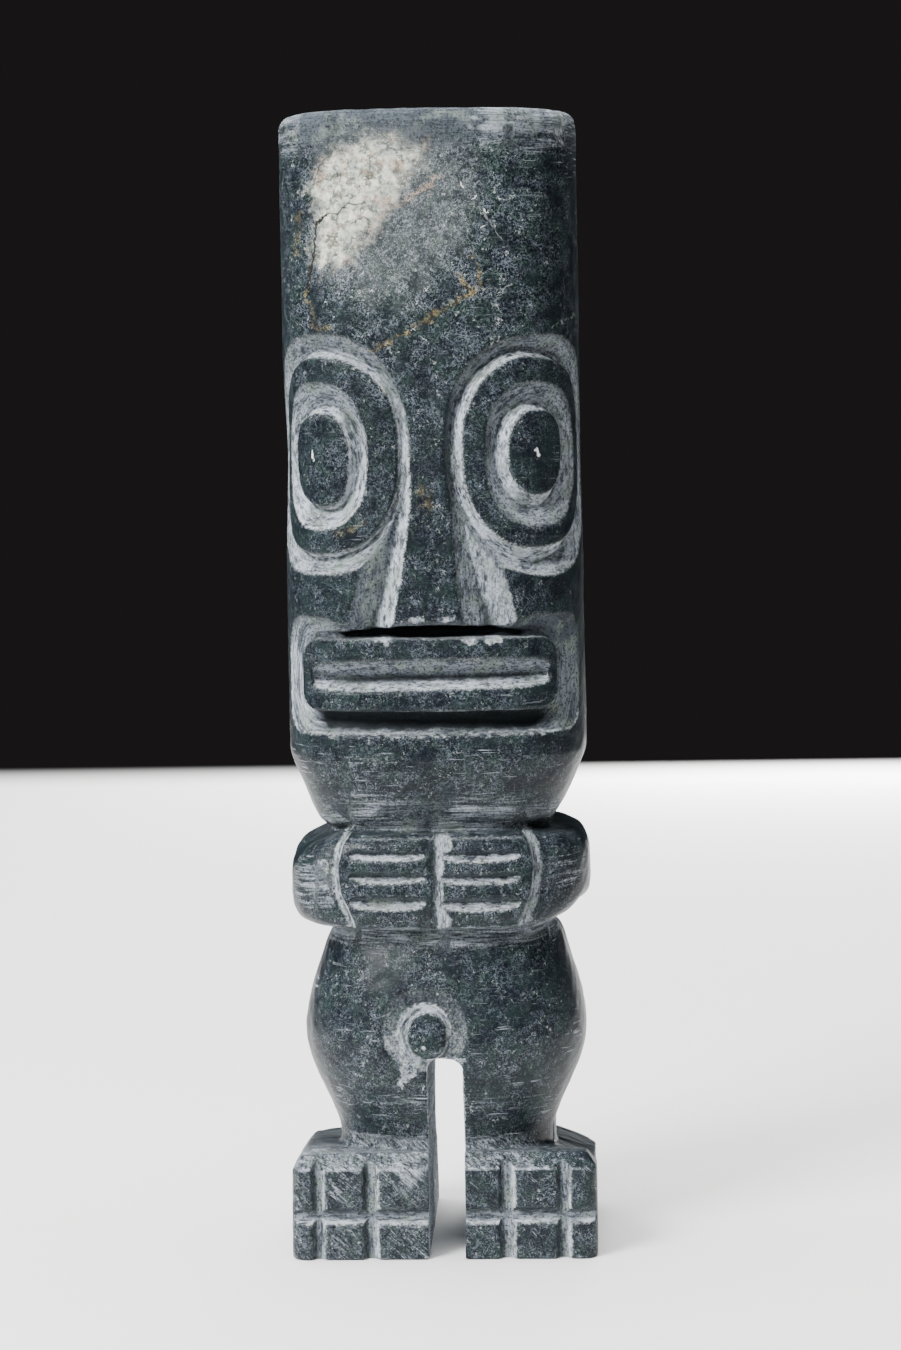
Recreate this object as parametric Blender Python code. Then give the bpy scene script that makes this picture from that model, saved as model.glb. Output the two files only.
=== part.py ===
"""Carved stone deity figure that stands on its own two feet.

The figure is one piece, carved from one block of dark stone: a tall block head with ringed eyes and
a wide mouth, hands held on the belly, a round knob above the slot that parts the legs, and block
feet with cut toes. Lengths are in metres. The figure faces -Y, +X is on the right of someone who
looks at its face, and the feet stand on z = 0.

The trunk is a loft of rounded sections. The carving is cut by furrows that follow its skin: a place
on the skin is (around, level), where around is the length along the section from its front centre
line, positive towards +X, and level is the height above the floor.
"""

import math
from typing import NamedTuple

import bmesh
import bpy
import numpy as np

MM = 0.001

# Heights, stacked from the floor to the crown
FOOT_EDGE_HEIGHT = 14.4 * MM
HEEL_EDGE_HEIGHT = 11.0 * MM
INSTEP_RISE = 3.9 * MM
SHIN_HEIGHT = 16.2 * MM
BELLY_HEIGHT = 17.0 * MM
ARM_BAND_HEIGHT = 16.2 * MM
CHIN_HEIGHT = 12.3 * MM
HEAD_HEIGHT = 100.0 * MM

# Half widths of the trunk, and how deep each section is for its width
ANKLE_HALF = 17.5 * MM
HIP_HALF = 22.8 * MM
WAIST_HALF = 17.4 * MM
ARM_BAND_HALF = 24.0 * MM
NECK_HALF = 17.5 * MM
JAW_HALF = 23.8 * MM
BROW_HALF = 23.5 * MM
DEPTH_SHARE = 0.826

# How square each section is: 2 is an ellipse, and more is closer to a box
LEG_SQUARENESS = 2.6
ARM_BAND_SQUARENESS = 3.4
HEAD_SQUARENESS = 3.1

# The block was not quite true: these are the sideways places of its levels over the feet
HIP_SHIFT = 0.2 * MM
ARM_BAND_SHIFT = -0.25 * MM
JAW_SHIFT = -0.4 * MM
BROW_SHIFT = -0.7 * MM

# How the profile runs between the levels
BELLY_EASE = 1.6
CHIN_EASE = 1.35
ARM_BAND_EDGE = 3.0
CROWN_ROUND_SIDE = 3.0 * MM
CROWN_ROUND_HEIGHT = 4.6 * MM
CROWN_DOME = 0.5 * MM
CROWN_FLAT_SHARE = 0.5

# Feet, whose toes and heels stand a little further out than the band of the arms
FOOT_HALF_WIDTH = 24.2 * MM
TOE_REACH = 0.2 * MM
TOE_CORNER = 2.4 * MM
HEEL_CORNER = 8.0 * MM
TOE_CUT_DEPTH = 1.3 * MM
TOE_CUT_WIDTH = 2.7 * MM
TOE_CUT_FLARE = 0.7
TOE_CUTS = (-19.8 * MM, -11.4 * MM, 10.1 * MM, 19.0 * MM)
KNUCKLE_CUT_LEVEL = 6.8 * MM

# Slot between the legs
LEG_GAP = 5.6 * MM
LEG_GAP_HEIGHT = 31.5 * MM
LEG_GAP_CORNER = 1.8 * MM
LEG_GAP_SHIFT = 0.4 * MM

# Eyes, from their level above the chin line and their place around the head
EYE_RISE = 46.5 * MM
EYE_AROUND = 17.4 * MM
EYE_GROOVE_DEPTH = 1.5 * MM
BROW_GROOVE_DEPTH = 1.6 * MM
EYE_ROUNDNESS = 2.35

# How far each eye's ovals reach to the left, right, up and down of its middle, as hand carving left them
LEFT_PUPIL = (5.8 * MM, 5.8 * MM, 6.7 * MM, 7.4 * MM)
LEFT_SOCKET = (9.0 * MM, 7.9 * MM, 12.0 * MM, 11.6 * MM)
LEFT_RING = (11.5 * MM, 12.4 * MM, 15.3 * MM, 15.0 * MM)
LEFT_BROW = (17.0 * MM, 14.5 * MM, 19.1 * MM, 18.6 * MM)
RIGHT_PUPIL = (4.1 * MM, 4.6 * MM, 6.7 * MM, 6.0 * MM)
RIGHT_SOCKET = (8.7 * MM, 8.8 * MM, 11.5 * MM, 11.5 * MM)
RIGHT_RING = (12.3 * MM, 10.9 * MM, 14.9 * MM, 14.1 * MM)
RIGHT_BROW = (14.7 * MM, 17.0 * MM, 19.0 * MM, 18.9 * MM)

# Nose
NOSE_RISE = 34.5 * MM
NOSE_SHIFT = -0.3 * MM
NOSE_TOP_HALF = 3.6 * MM
NOSE_BASE_HALF = 5.3 * MM
NOSE_CREASE_TOP = 1.4 * MM
NOSE_CREASE_BASE = 7.2 * MM
NOSE_CREASE_DEPTH = 2.2 * MM
NOSE_CREASE_SEAT = 0.8 * MM
NOSE_FLARE = 2.0
NOSE_CREASE_FLARE = 0.8

# Mouth, from its middle level above the chin line
MOUTH_RISE = 12.5 * MM
MOUTH_SHIFT = -0.9 * MM
LIPS_HALF_WIDTH = 21.1 * MM
LIPS_HALF_HEIGHT = 5.6 * MM
LIPS_CORNER = 2.4 * MM
LIPS_MARGIN_SIDE = 6.4 * MM
LIPS_MARGIN_HEIGHT = 3.7 * MM
MOUTH_CORNER = 5.5 * MM
MOUTH_SIDE_DEPTH = 1.3 * MM
MOUTH_BOTTOM_DEPTH = 3.2 * MM
NOSE_SLOT_SEAT = 0.3 * MM
NOSE_SLOT_HEIGHT = 1.5 * MM
NOSE_SLOT_DEPTH = 4.6 * MM
NOSE_SLOT_HALF_WIDTH = 17.0 * MM
LIP_SLIT_HALF_WIDTH = 19.5 * MM
LIP_SLIT_HEIGHT = 5.8 * MM
LIP_SLIT_DEPTH = 1.7 * MM
LIP_SLIT_SQUARENESS = 4.0

# Hands, on the band of the arms
HAND_SHIFT = -0.4 * MM
HAND_HALF_WIDTH = 13.2 * MM
HAND_BULGE = 2.1 * MM
WRIST_FURROW = 3.4 * MM
WRIST_DEPTH = 1.0 * MM
WRIST_REACH = 0.9
WRIST_FADE = 0.5
FINGER_CUT_HEIGHT = 1.9 * MM
FINGER_CUT_DEPTH = 0.9 * MM
FINGER_CUT_SQUARENESS = 3.0
FINGER_RISE = 1.0 * MM
FINGER_PITCH = 3.75 * MM
FINGER_CUT_COUNT = 3
FINGER_INSET = 1.3 * MM
PALM_GAP_SHIFT = 0.6 * MM
PALM_GAP = 2.2 * MM
PALM_GAP_DEPTH = 0.9 * MM

# Knob above the leg slot
KNOB_RISE = 1.0 * MM
KNOB_SHIFT = -2.5 * MM
KNOB_HALF_WIDTH = 3.0 * MM
KNOB_HALF_HEIGHT = 3.5 * MM
KNOB_DISH = 4.2 * MM
KNOB_DISH_DEPTH = 1.3 * MM

# Fineness of the solids: points round a section, steps along each stretch, and points along cutters
RING_POINTS = 48
SHIN_STEPS = 6
BELLY_STEPS = 5
ARM_BAND_STEPS = 10
CHIN_STEPS = 5
HEAD_STEPS = 6
CROWN_STEPS = 4
WALL_SAMPLES = 400
SKIN_MARGIN = 0.001
OVAL_POINTS = 36
CORNER_STEPS = 4
RUN_STEPS = 9
NOSE_CREASE_STEPS = 6
NOSE_SLOT_STEPS = 10
LIP_SLIT_STEPS = 16
WRIST_STEPS = 8
FINGER_CUT_STEPS = 8
PALM_GAP_STEPS = 6
CUTTER_LIFT = 2.5 * MM
CUTTER_REACH = 4.0 * MM
SAME_PLACE = 0.02 * MM

# Levels worked out from the stacked heights
ANKLE_LEVEL = FOOT_EDGE_HEIGHT + INSTEP_RISE
HIP_LEVEL = ANKLE_LEVEL + SHIN_HEIGHT
WAIST_LEVEL = HIP_LEVEL + BELLY_HEIGHT
NECK_LEVEL = WAIST_LEVEL + ARM_BAND_HEIGHT
JAW_LEVEL = NECK_LEVEL + CHIN_HEIGHT
CROWN_LEVEL = JAW_LEVEL + HEAD_HEIGHT
ARM_BAND_MIDDLE = (WAIST_LEVEL + NECK_LEVEL) / 2
MOUTH_LEVEL = JAW_LEVEL + MOUTH_RISE
EYE_LEVEL = JAW_LEVEL + EYE_RISE

# The feet reach as far forwards and back as the band of the arms, and the toes' reach further
FOOT_HALF_DEPTH = ARM_BAND_HALF * DEPTH_SHARE + TOE_REACH

# Across and down a furrow, as shares of its width and depth, from its steep edge to its gentle one
STEEP_PROFILE = ((0.10, 1.0), (0.35, 0.85), (0.90, 0.25))
VALLEY_PROFILE = ((0.40, 0.95), (0.60, 0.95))
ROUND_PROFILE = ((0.22, 0.8), (0.50, 1.0), (0.78, 0.8))
BOX_PROFILE = ((0.02, 1.0), (0.98, 1.0))
SLIT_PROFILE = ((0.14, 0.80), (0.36, 1.0), (0.70, 0.45))


class Section(NamedTuple):
    """One level section of the trunk."""

    level: float
    half_width: float
    squareness: float
    shift: float


class Oval(NamedTuple):
    """An oval on the skin, with its own reach to each side of its middle."""

    around: float
    level: float
    left: float
    right: float
    up: float
    down: float


def blend(low, high, share):
    """Return the value that lies a share of the way from low to high."""
    return low + (high - low) * share


def steps(count):
    """Return count shares from just above 0 up to 1."""
    return [(index + 1) / count for index in range(count)]


def rounded_power(value, squareness):
    """Return a signed cosine or sine raised for a superellipse of this squareness."""
    return math.copysign(abs(value) ** (2 / squareness), value)


def trunk_sections():
    """Return the trunk's sections from inside the feet up to the crown."""
    sections = [Section(HEEL_EDGE_HEIGHT / 2, ANKLE_HALF, LEG_SQUARENESS, HIP_SHIFT)]
    sections.append(Section(ANKLE_LEVEL, ANKLE_HALF, LEG_SQUARENESS, HIP_SHIFT))
    for share in steps(SHIN_STEPS):
        half = blend(ANKLE_HALF, HIP_HALF, (1 - math.cos(math.pi * share)) / 2)
        level = blend(ANKLE_LEVEL, HIP_LEVEL, share)
        sections.append(Section(level, half, LEG_SQUARENESS, HIP_SHIFT))
    for share in steps(BELLY_STEPS):
        half = blend(HIP_HALF, WAIST_HALF, share ** BELLY_EASE)
        level = blend(HIP_LEVEL, WAIST_LEVEL, share)
        sections.append(Section(level, half, LEG_SQUARENESS, HIP_SHIFT))
    sections += arm_band_sections()
    for share in steps(CHIN_STEPS):
        half = blend(JAW_HALF, NECK_HALF, (1 - share) ** CHIN_EASE)
        squareness = blend(ARM_BAND_SQUARENESS, HEAD_SQUARENESS, share)
        level = blend(NECK_LEVEL, JAW_LEVEL, share)
        sections.append(Section(level, half, squareness, JAW_SHIFT))
    return sections + head_sections()


def arm_band_sections():
    """Return the sections of the band of the arms, which bulges between waist and neck."""
    sections = []
    half_height = ARM_BAND_HEIGHT / 2
    for share in steps(ARM_BAND_STEPS):
        turn = blend(-math.pi / 2, math.pi / 2, share)
        rise = rounded_power(math.sin(turn), ARM_BAND_EDGE)
        bulge = rounded_power(math.cos(turn), ARM_BAND_EDGE)
        root = WAIST_HALF if rise < 0 else NECK_HALF
        half = blend(root, ARM_BAND_HALF, bulge)
        level = ARM_BAND_MIDDLE + rise * half_height
        sections.append(Section(level, half, ARM_BAND_SQUARENESS, ARM_BAND_SHIFT))
    return sections


def head_sections():
    """Return the sections of the head above the jaw, with its rounded crown."""
    brow_level = CROWN_LEVEL - CROWN_DOME - CROWN_ROUND_HEIGHT
    sections = []
    for share in steps(HEAD_STEPS):
        half = blend(JAW_HALF, BROW_HALF, share)
        level = blend(JAW_LEVEL, brow_level, share)
        sections.append(Section(level, half, HEAD_SQUARENESS, blend(JAW_SHIFT, BROW_SHIFT, share)))
    for share in steps(CROWN_STEPS):
        turn = share * math.pi / 2
        half = BROW_HALF - CROWN_ROUND_SIDE * (1 - math.cos(turn))
        level = brow_level + CROWN_ROUND_HEIGHT * math.sin(turn)
        sections.append(Section(level, half, HEAD_SQUARENESS, BROW_SHIFT))
    crown_flat = BROW_HALF * CROWN_FLAT_SHARE
    sections.append(Section(CROWN_LEVEL, crown_flat, HEAD_SQUARENESS, BROW_SHIFT))
    return sections


def section_point(section, turn):
    """Return the point of a section at a turn from its front centre, positive towards +X."""
    x = section.half_width * rounded_power(math.sin(turn), section.squareness)
    y = -section.half_width * DEPTH_SHARE * rounded_power(math.cos(turn), section.squareness)
    return x + section.shift, y


class Skin:
    """The trunk's front skin, which gives the place in space of a place on the skin."""

    def __init__(self, sections):
        self.sections = sections
        self.turns = np.linspace(-math.pi / 2, math.pi / 2, WALL_SAMPLES + 1)
        self.cache = {}

    def section_at(self, level):
        """Return the trunk's section at a level."""
        levels = [section.level for section in self.sections]
        values = [np.interp(level, levels, column) for column in zip(*self.sections)]
        return Section(*values)

    def outline_at(self, level):
        """Return the lengths around and the points of the outline at a level."""
        key = round(level, 6)
        if key not in self.cache:
            section = self.section_at(level)
            points = np.array([section_point(section, turn) for turn in self.turns])
            runs = np.linalg.norm(np.diff(points, axis=0), axis=1)
            around = np.concatenate(([0.0], np.cumsum(runs)))
            middle = np.interp(0.0, self.turns, around)
            self.cache[key] = (around - middle, points)
        return self.cache[key]

    def point(self, around, level, height):
        """Return the point at this height above the skin."""
        lengths, points = self.outline_at(level)
        margin = lengths[-1] * SKIN_MARGIN
        reach = lengths[-1] - margin
        around = min(max(around, -reach), reach)
        here, before, after = (
            np.array([np.interp(around + move, lengths, points[:, axis]) for axis in (0, 1)])
            for move in (0.0, -margin, margin)
        )
        run = (after - before) / np.linalg.norm(after - before)
        outward = np.array([run[1], -run[0]])
        x, y = here + outward * height
        return x, y, level


def oval_path(oval):
    """Return the places along an oval, counter-clockwise from its +X end."""
    path = []
    for index in range(OVAL_POINTS):
        turn = 2 * math.pi * index / OVAL_POINTS
        across = rounded_power(math.cos(turn), EYE_ROUNDNESS)
        rise = rounded_power(math.sin(turn), EYE_ROUNDNESS)
        reach = oval.right if across > 0 else oval.left
        climb = oval.up if rise > 0 else oval.down
        path.append((oval.around + reach * across, oval.level + climb * rise))
    return path


def box_path(around, level, half_width, half_height, corner):
    """Return the places along a box with round corners, counter-clockwise from its lower right."""
    path = []
    for quarter, (side, rise) in enumerate(((1, -1), (1, 1), (-1, 1), (-1, -1))):
        middle = (around + side * (half_width - corner), level + rise * (half_height - corner))
        for index in range(CORNER_STEPS + 1):
            turn = math.pi / 2 * (quarter - 1 + index / CORNER_STEPS)
            path.append((middle[0] + corner * math.cos(turn), middle[1] + corner * math.sin(turn)))
        if side == rise:
            start, edge = path[-1]
            run = -side * 2 * (half_width - corner)
            path += [(start + run * share, edge) for share in steps(RUN_STEPS)[:-1]]
    return path


def new_object(name, mesh_builder, collection):
    """Make an object from a bmesh, with its faces pointing out."""
    bmesh.ops.recalc_face_normals(mesh_builder, faces=mesh_builder.faces)
    mesh = bpy.data.meshes.new(name)
    mesh_builder.to_mesh(mesh)
    mesh_builder.free()
    thing = bpy.data.objects.new(name, mesh)
    collection.objects.link(thing)
    return thing


def loft(rings, closed):
    """Return a bmesh that joins rings of points in order, in a loop or capped at both ends."""
    body = bmesh.new()
    loops = [[body.verts.new(point) for point in ring] for ring in rings]
    pairs = list(zip(loops, loops[1:]))
    if closed:
        pairs.append((loops[-1], loops[0]))
    for low, high in pairs:
        for index in range(len(low)):
            after = (index + 1) % len(low)
            body.faces.new((low[index], low[after], high[after], high[index]))
    if not closed:
        body.faces.new(list(reversed(loops[0])))
        body.faces.new(loops[-1])
    return body


def furrow(name, skin, edges, depths, profile, collection, closed=False):
    """Make the cutter of a furrow that runs between a steep edge and a gentle edge on the skin."""
    rings = []
    for steep, gentle, depth in zip(edges[0], edges[1], depths):
        ring = [(0.0, CUTTER_LIFT), (0.0, 0.0)]
        ring += [(across, -depth * down) for across, down in profile]
        ring += [(1.0, 0.0), (1.0, CUTTER_LIFT)]
        places = [(blend(steep[0], gentle[0], across), blend(steep[1], gentle[1], across), height)
                  for across, height in ring]
        rings.append([skin.point(*place) for place in places])
    return new_object(name, loft(rings, closed), collection)


def box_cutter(name, low, high, collection, top_corner=0.0):
    """Make a box cutter, with its two upper edges along Y rounded where a corner is given."""
    body = bmesh.new()
    bmesh.ops.create_cube(body, size=1.0)
    for vertex in body.verts:
        vertex.co = [blend(low[axis], high[axis], vertex.co[axis] + 0.5) for axis in range(3)]
    if top_corner > 0:
        upper = [edge for edge in body.edges
                 if all(vertex.co.z == max(v.co.z for v in body.verts) for vertex in edge.verts)
                 and edge.verts[0].co.x == edge.verts[1].co.x]
        bmesh.ops.bevel(body, geom=upper, offset=top_corner, segments=CORNER_STEPS, profile=0.5,
                        affect="EDGES")
    return new_object(name, body, collection)


def toe_channel(name, middle, half_run, along_x, collection):
    """Make the cutter of a straight channel in the toes, narrower at its floor than at its mouth."""
    body = bmesh.new()
    bmesh.ops.create_cube(body, size=1.0)
    face = -FOOT_HALF_DEPTH
    floor_half = TOE_CUT_WIDTH / 2 * TOE_CUT_FLARE
    flare = (TOE_CUT_WIDTH / 2 - floor_half) / TOE_CUT_DEPTH
    mouth_half = floor_half + flare * (TOE_CUT_DEPTH + CUTTER_LIFT)
    for vertex in body.verts:
        inner = vertex.co.y > 0
        depth = face + TOE_CUT_DEPTH if inner else face - CUTTER_LIFT
        across = math.copysign(floor_half if inner else mouth_half, vertex.co.x)
        run = math.copysign(half_run, vertex.co.z)
        if along_x:
            vertex.co = (middle[0] + run, depth, middle[1] + across)
        else:
            vertex.co = (middle[0] + across, depth, middle[1] + run)
    return new_object(name, body, collection)


def make_trunk(sections, collection):
    """Make the trunk: legs, belly, arms band, neck and head in one loft."""
    turns = [2 * math.pi * index / RING_POINTS for index in range(RING_POINTS)]
    rings = [[(*section_point(section, turn), section.level) for turn in turns] for section in sections]
    return new_object("stone_figure", loft(rings, closed=False), collection)


def make_feet(collection):
    """Make the block of both feet: upright sides, and a top that slopes up to the ankles."""
    body = bmesh.new()
    bmesh.ops.create_cube(body, size=1.0)
    for vertex in body.verts:
        x = math.copysign(FOOT_HALF_WIDTH, vertex.co.x)
        y = math.copysign(FOOT_HALF_DEPTH, vertex.co.y)
        vertex.co = (x, y, foot_edge_level(y) if vertex.co.z > 0 else 0.0)
    for corner, is_front in ((TOE_CORNER, True), (HEEL_CORNER, False)):
        uprights = [edge for edge in body.edges if is_upright(edge, is_front)]
        bmesh.ops.bevel(body, geom=uprights, offset=corner, segments=CORNER_STEPS, profile=0.5,
                        affect="EDGES")
    top_face = max(body.faces, key=lambda face: face.calc_center_median().z)
    raised = bmesh.ops.extrude_face_region(body, geom=[top_face])["geom"]
    bmesh.ops.delete(body, geom=[top_face], context="FACES_ONLY")
    for vertex in [part for part in raised if isinstance(part, bmesh.types.BMVert)]:
        vertex.co.x *= ANKLE_HALF / FOOT_HALF_WIDTH
        vertex.co.y *= ANKLE_HALF * DEPTH_SHARE / FOOT_HALF_DEPTH
        vertex.co.z = foot_edge_level(vertex.co.y) + INSTEP_RISE
    return new_object("feet_block", body, collection)


def foot_edge_level(y):
    """Return the level of the feet's upper edge, which falls from the toes to the heels."""
    return blend(FOOT_EDGE_HEIGHT, HEEL_EDGE_HEIGHT, (y + FOOT_HALF_DEPTH) / (2 * FOOT_HALF_DEPTH))


def is_upright(edge, front):
    """Tell whether an edge of the foot block is an upright one of its front or its back."""
    first, second = (vertex.co for vertex in edge.verts)
    upright = abs(first.x - second.x) < SAME_PLACE and abs(first.y - second.y) < SAME_PLACE
    return upright and (first.y < 0) == front


def eye_cutters(name, skin, ovals, collection):
    """Make the two ring furrows of an eye: round its pupil, and round its raised ring."""
    pupil, socket, ring, brow = ovals
    inner = furrow(name + "_groove", skin, (oval_path(pupil), oval_path(socket)),
                   [EYE_GROOVE_DEPTH] * OVAL_POINTS, STEEP_PROFILE, collection, closed=True)
    outer = furrow(name + "_brow_groove", skin, (oval_path(ring), oval_path(brow)),
                   [BROW_GROOVE_DEPTH] * OVAL_POINTS, STEEP_PROFILE, collection, closed=True)
    return [inner, outer]


def make_eyes(skin, collection):
    """Make the cutters of both eyes, which differ a little as hand carving does."""
    left_reaches = (LEFT_PUPIL, LEFT_SOCKET, LEFT_RING, LEFT_BROW)
    right_reaches = (RIGHT_PUPIL, RIGHT_SOCKET, RIGHT_RING, RIGHT_BROW)
    cutters = []
    for name, around, reaches in (("left_eye", -EYE_AROUND, left_reaches),
                                  ("right_eye", EYE_AROUND, right_reaches)):
        ovals = [Oval(around, EYE_LEVEL, *reach) for reach in reaches]
        cutters += eye_cutters(name, skin, ovals, collection)
    return cutters


def make_nose_creases(skin, collection):
    """Make the two creases that leave the nose standing between eyes and mouth."""
    top = JAW_LEVEL + NOSE_RISE
    base = MOUTH_LEVEL + LIPS_HALF_HEIGHT + NOSE_CREASE_SEAT
    cutters = []
    for side, name in ((-1, "left_nose_crease"), (1, "right_nose_crease")):
        nose_edge, cheek_edge, depths = [], [], []
        for share in [0.0] + steps(NOSE_CREASE_STEPS):
            level = blend(top, base, share)
            edge = blend(NOSE_TOP_HALF, NOSE_BASE_HALF, share ** NOSE_FLARE)
            width = blend(NOSE_CREASE_TOP, NOSE_CREASE_BASE, share ** NOSE_CREASE_FLARE)
            nose_edge.append((side * edge + NOSE_SHIFT, level))
            cheek_edge.append((side * (edge + width) + NOSE_SHIFT, level))
            depths.append(blend(NOSE_CREASE_DEPTH / 2, NOSE_CREASE_DEPTH, share))
        cutters.append(furrow(name, skin, (nose_edge, cheek_edge), depths, VALLEY_PROFILE, collection))
    return cutters


def make_mouth(skin, collection):
    """Make the cutters of the mouth: the recess round the lips, the slot under the nose, the slit."""
    lips = box_path(MOUTH_SHIFT, MOUTH_LEVEL, LIPS_HALF_WIDTH, LIPS_HALF_HEIGHT, LIPS_CORNER)
    recess = box_path(0.0, MOUTH_LEVEL, LIPS_HALF_WIDTH + LIPS_MARGIN_SIDE,
                      LIPS_HALF_HEIGHT + LIPS_MARGIN_HEIGHT, MOUTH_CORNER)
    depths = [blend(MOUTH_SIDE_DEPTH, MOUTH_BOTTOM_DEPTH, abs(level - MOUTH_LEVEL) / LIPS_HALF_HEIGHT)
              for _, level in lips]
    cutters = [furrow("mouth_recess", skin, (lips, recess), depths, STEEP_PROFILE, collection, closed=True)]
    slot_low = MOUTH_LEVEL + LIPS_HALF_HEIGHT + NOSE_SLOT_SEAT
    run = np.linspace(-NOSE_SLOT_HALF_WIDTH, NOSE_SLOT_HALF_WIDTH, NOSE_SLOT_STEPS + 1)
    low_edge = [(around, slot_low) for around in run]
    high_edge = [(around, slot_low + NOSE_SLOT_HEIGHT) for around in run]
    cutters.append(furrow("nose_slot", skin, (low_edge, high_edge), [NOSE_SLOT_DEPTH] * len(run),
                          BOX_PROFILE, collection))
    low_edge, high_edge, depths = [], [], []
    for turn in np.linspace(-math.pi / 2, math.pi / 2, LIP_SLIT_STEPS + 1)[1:-1]:
        end = rounded_power(math.cos(turn), LIP_SLIT_SQUARENESS)
        around = MOUTH_SHIFT + LIP_SLIT_HALF_WIDTH * rounded_power(math.sin(turn), LIP_SLIT_SQUARENESS)
        low_edge.append((around, MOUTH_LEVEL - LIP_SLIT_HEIGHT / 2 * end))
        high_edge.append((around, MOUTH_LEVEL + LIP_SLIT_HEIGHT / 2 * end))
        depths.append(LIP_SLIT_DEPTH * end)
    cutters.append(furrow("lip_slit", skin, (low_edge, high_edge), depths, SLIT_PROFILE, collection))
    return cutters


def make_hands(skin, collection):
    """Make the cutters of the hands: the wrists, the gap between the palms, and the fingers."""
    reach = ARM_BAND_HEIGHT / 2
    cutters = []
    for side, name in ((-1, "left"), (1, "right")):
        hand_edge, arm_edge, depths = [], [], []
        for share in np.linspace(-WRIST_REACH, WRIST_REACH, WRIST_STEPS + 1):
            bulge = math.cos(share * math.pi / 2)
            hand = HAND_HALF_WIDTH + HAND_BULGE * bulge
            level = ARM_BAND_MIDDLE + share * reach
            hand_edge.append((side * hand + HAND_SHIFT, level))
            arm_edge.append((side * (hand + WRIST_FURROW) + HAND_SHIFT, level))
            depths.append(WRIST_DEPTH * bulge ** WRIST_FADE)
        edges = (hand_edge, arm_edge)
        cutters.append(furrow(name + "_wrist", skin, edges, depths, STEEP_PROFILE, collection))
        for finger in range(FINGER_CUT_COUNT):
            level = ARM_BAND_MIDDLE + FINGER_RISE + FINGER_PITCH * (finger - (FINGER_CUT_COUNT - 1) / 2)
            cutters.append(finger_cutter(f"{name}_finger_cut_{finger + 1}", skin, side, level, collection))
    levels = np.linspace(ARM_BAND_MIDDLE - reach, ARM_BAND_MIDDLE + reach, PALM_GAP_STEPS + 1)
    edges = [[(side * PALM_GAP / 2 + PALM_GAP_SHIFT, level) for level in levels] for side in (-1, 1)]
    cutters.append(furrow("palm_gap", skin, edges, [PALM_GAP_DEPTH] * len(levels), ROUND_PROFILE, collection))
    return cutters


def finger_cutter(name, skin, side, level, collection):
    """Make the cutter of one groove between two fingers, which runs out at both ends."""
    half_run = (HAND_HALF_WIDTH + HAND_BULGE / 2 - PALM_GAP / 2 - FINGER_INSET) / 2
    middle = side * (half_run + PALM_GAP / 2 + FINGER_INSET / 2) + HAND_SHIFT
    low_edge, high_edge, depths = [], [], []
    for turn in np.linspace(-math.pi / 2, math.pi / 2, FINGER_CUT_STEPS + 1)[1:-1]:
        end = rounded_power(math.cos(turn), FINGER_CUT_SQUARENESS)
        around = middle + half_run * rounded_power(math.sin(turn), FINGER_CUT_SQUARENESS)
        low_edge.append((around, level - FINGER_CUT_HEIGHT / 2 * end))
        high_edge.append((around, level + FINGER_CUT_HEIGHT / 2 * end))
        depths.append(FINGER_CUT_DEPTH * end)
    return furrow(name, skin, (low_edge, high_edge), depths, ROUND_PROFILE, collection)


def make_knob(skin, collection):
    """Make the cutter of the dish round the knob above the leg slot."""
    level = LEG_GAP_HEIGHT + KNOB_RISE + KNOB_HALF_HEIGHT
    knob = Oval(KNOB_SHIFT, level, KNOB_HALF_WIDTH, KNOB_HALF_WIDTH, KNOB_HALF_HEIGHT, KNOB_HALF_HEIGHT)
    dish = Oval(KNOB_SHIFT, level, *(half + KNOB_DISH for half in knob[2:]))
    return [furrow("knob_dish", skin, (oval_path(knob), oval_path(dish)), [KNOB_DISH_DEPTH] * OVAL_POINTS,
                   STEEP_PROFILE, collection, closed=True)]


def make_leg_gap(collection):
    """Make the cutter of the slot that parts the legs, right through from front to back."""
    low = (LEG_GAP_SHIFT - LEG_GAP / 2, -FOOT_HALF_DEPTH - CUTTER_REACH, -CUTTER_REACH)
    high = (LEG_GAP_SHIFT + LEG_GAP / 2, FOOT_HALF_DEPTH + CUTTER_REACH, LEG_GAP_HEIGHT)
    return [box_cutter("leg_gap", low, high, collection, LEG_GAP_CORNER)]


def make_toes(collection):
    """Make the channels of the toes: upright ones between toes, and a level one at the knuckles."""
    half_height = FOOT_EDGE_HEIGHT / 2 + CUTTER_REACH
    cutters = []
    for index, place in enumerate(TOE_CUTS):
        middle = (place, FOOT_EDGE_HEIGHT / 2)
        cutters.append(toe_channel(f"toe_cut_{index + 1}", middle, half_height, False, collection))
    middle = (0.0, KNUCKLE_CUT_LEVEL)
    cutters.append(toe_channel("knuckle_cut", middle, FOOT_HALF_WIDTH + CUTTER_REACH, True, collection))
    return cutters


def stone_material():
    """Return the figure's dark, half-polished stone."""
    material = bpy.data.materials.new("dark_stone")
    material.use_nodes = True
    shader = material.node_tree.nodes["Principled BSDF"]
    shader.inputs["Base Color"].default_value = (0.045, 0.060, 0.068, 1.0)
    shader.inputs["Roughness"].default_value = 0.42
    shader.inputs["Metallic"].default_value = 0.0
    return material


def apply_boolean(figure, tool, operation):
    """Join the tool to the figure, or cut it from the figure, and hide the tool."""
    change = figure.modifiers.new(tool.name, "BOOLEAN")
    change.operation = operation
    change.solver = "EXACT"
    change.object = tool
    tool.hide_render = True
    tool.display_type = "WIRE"


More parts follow.
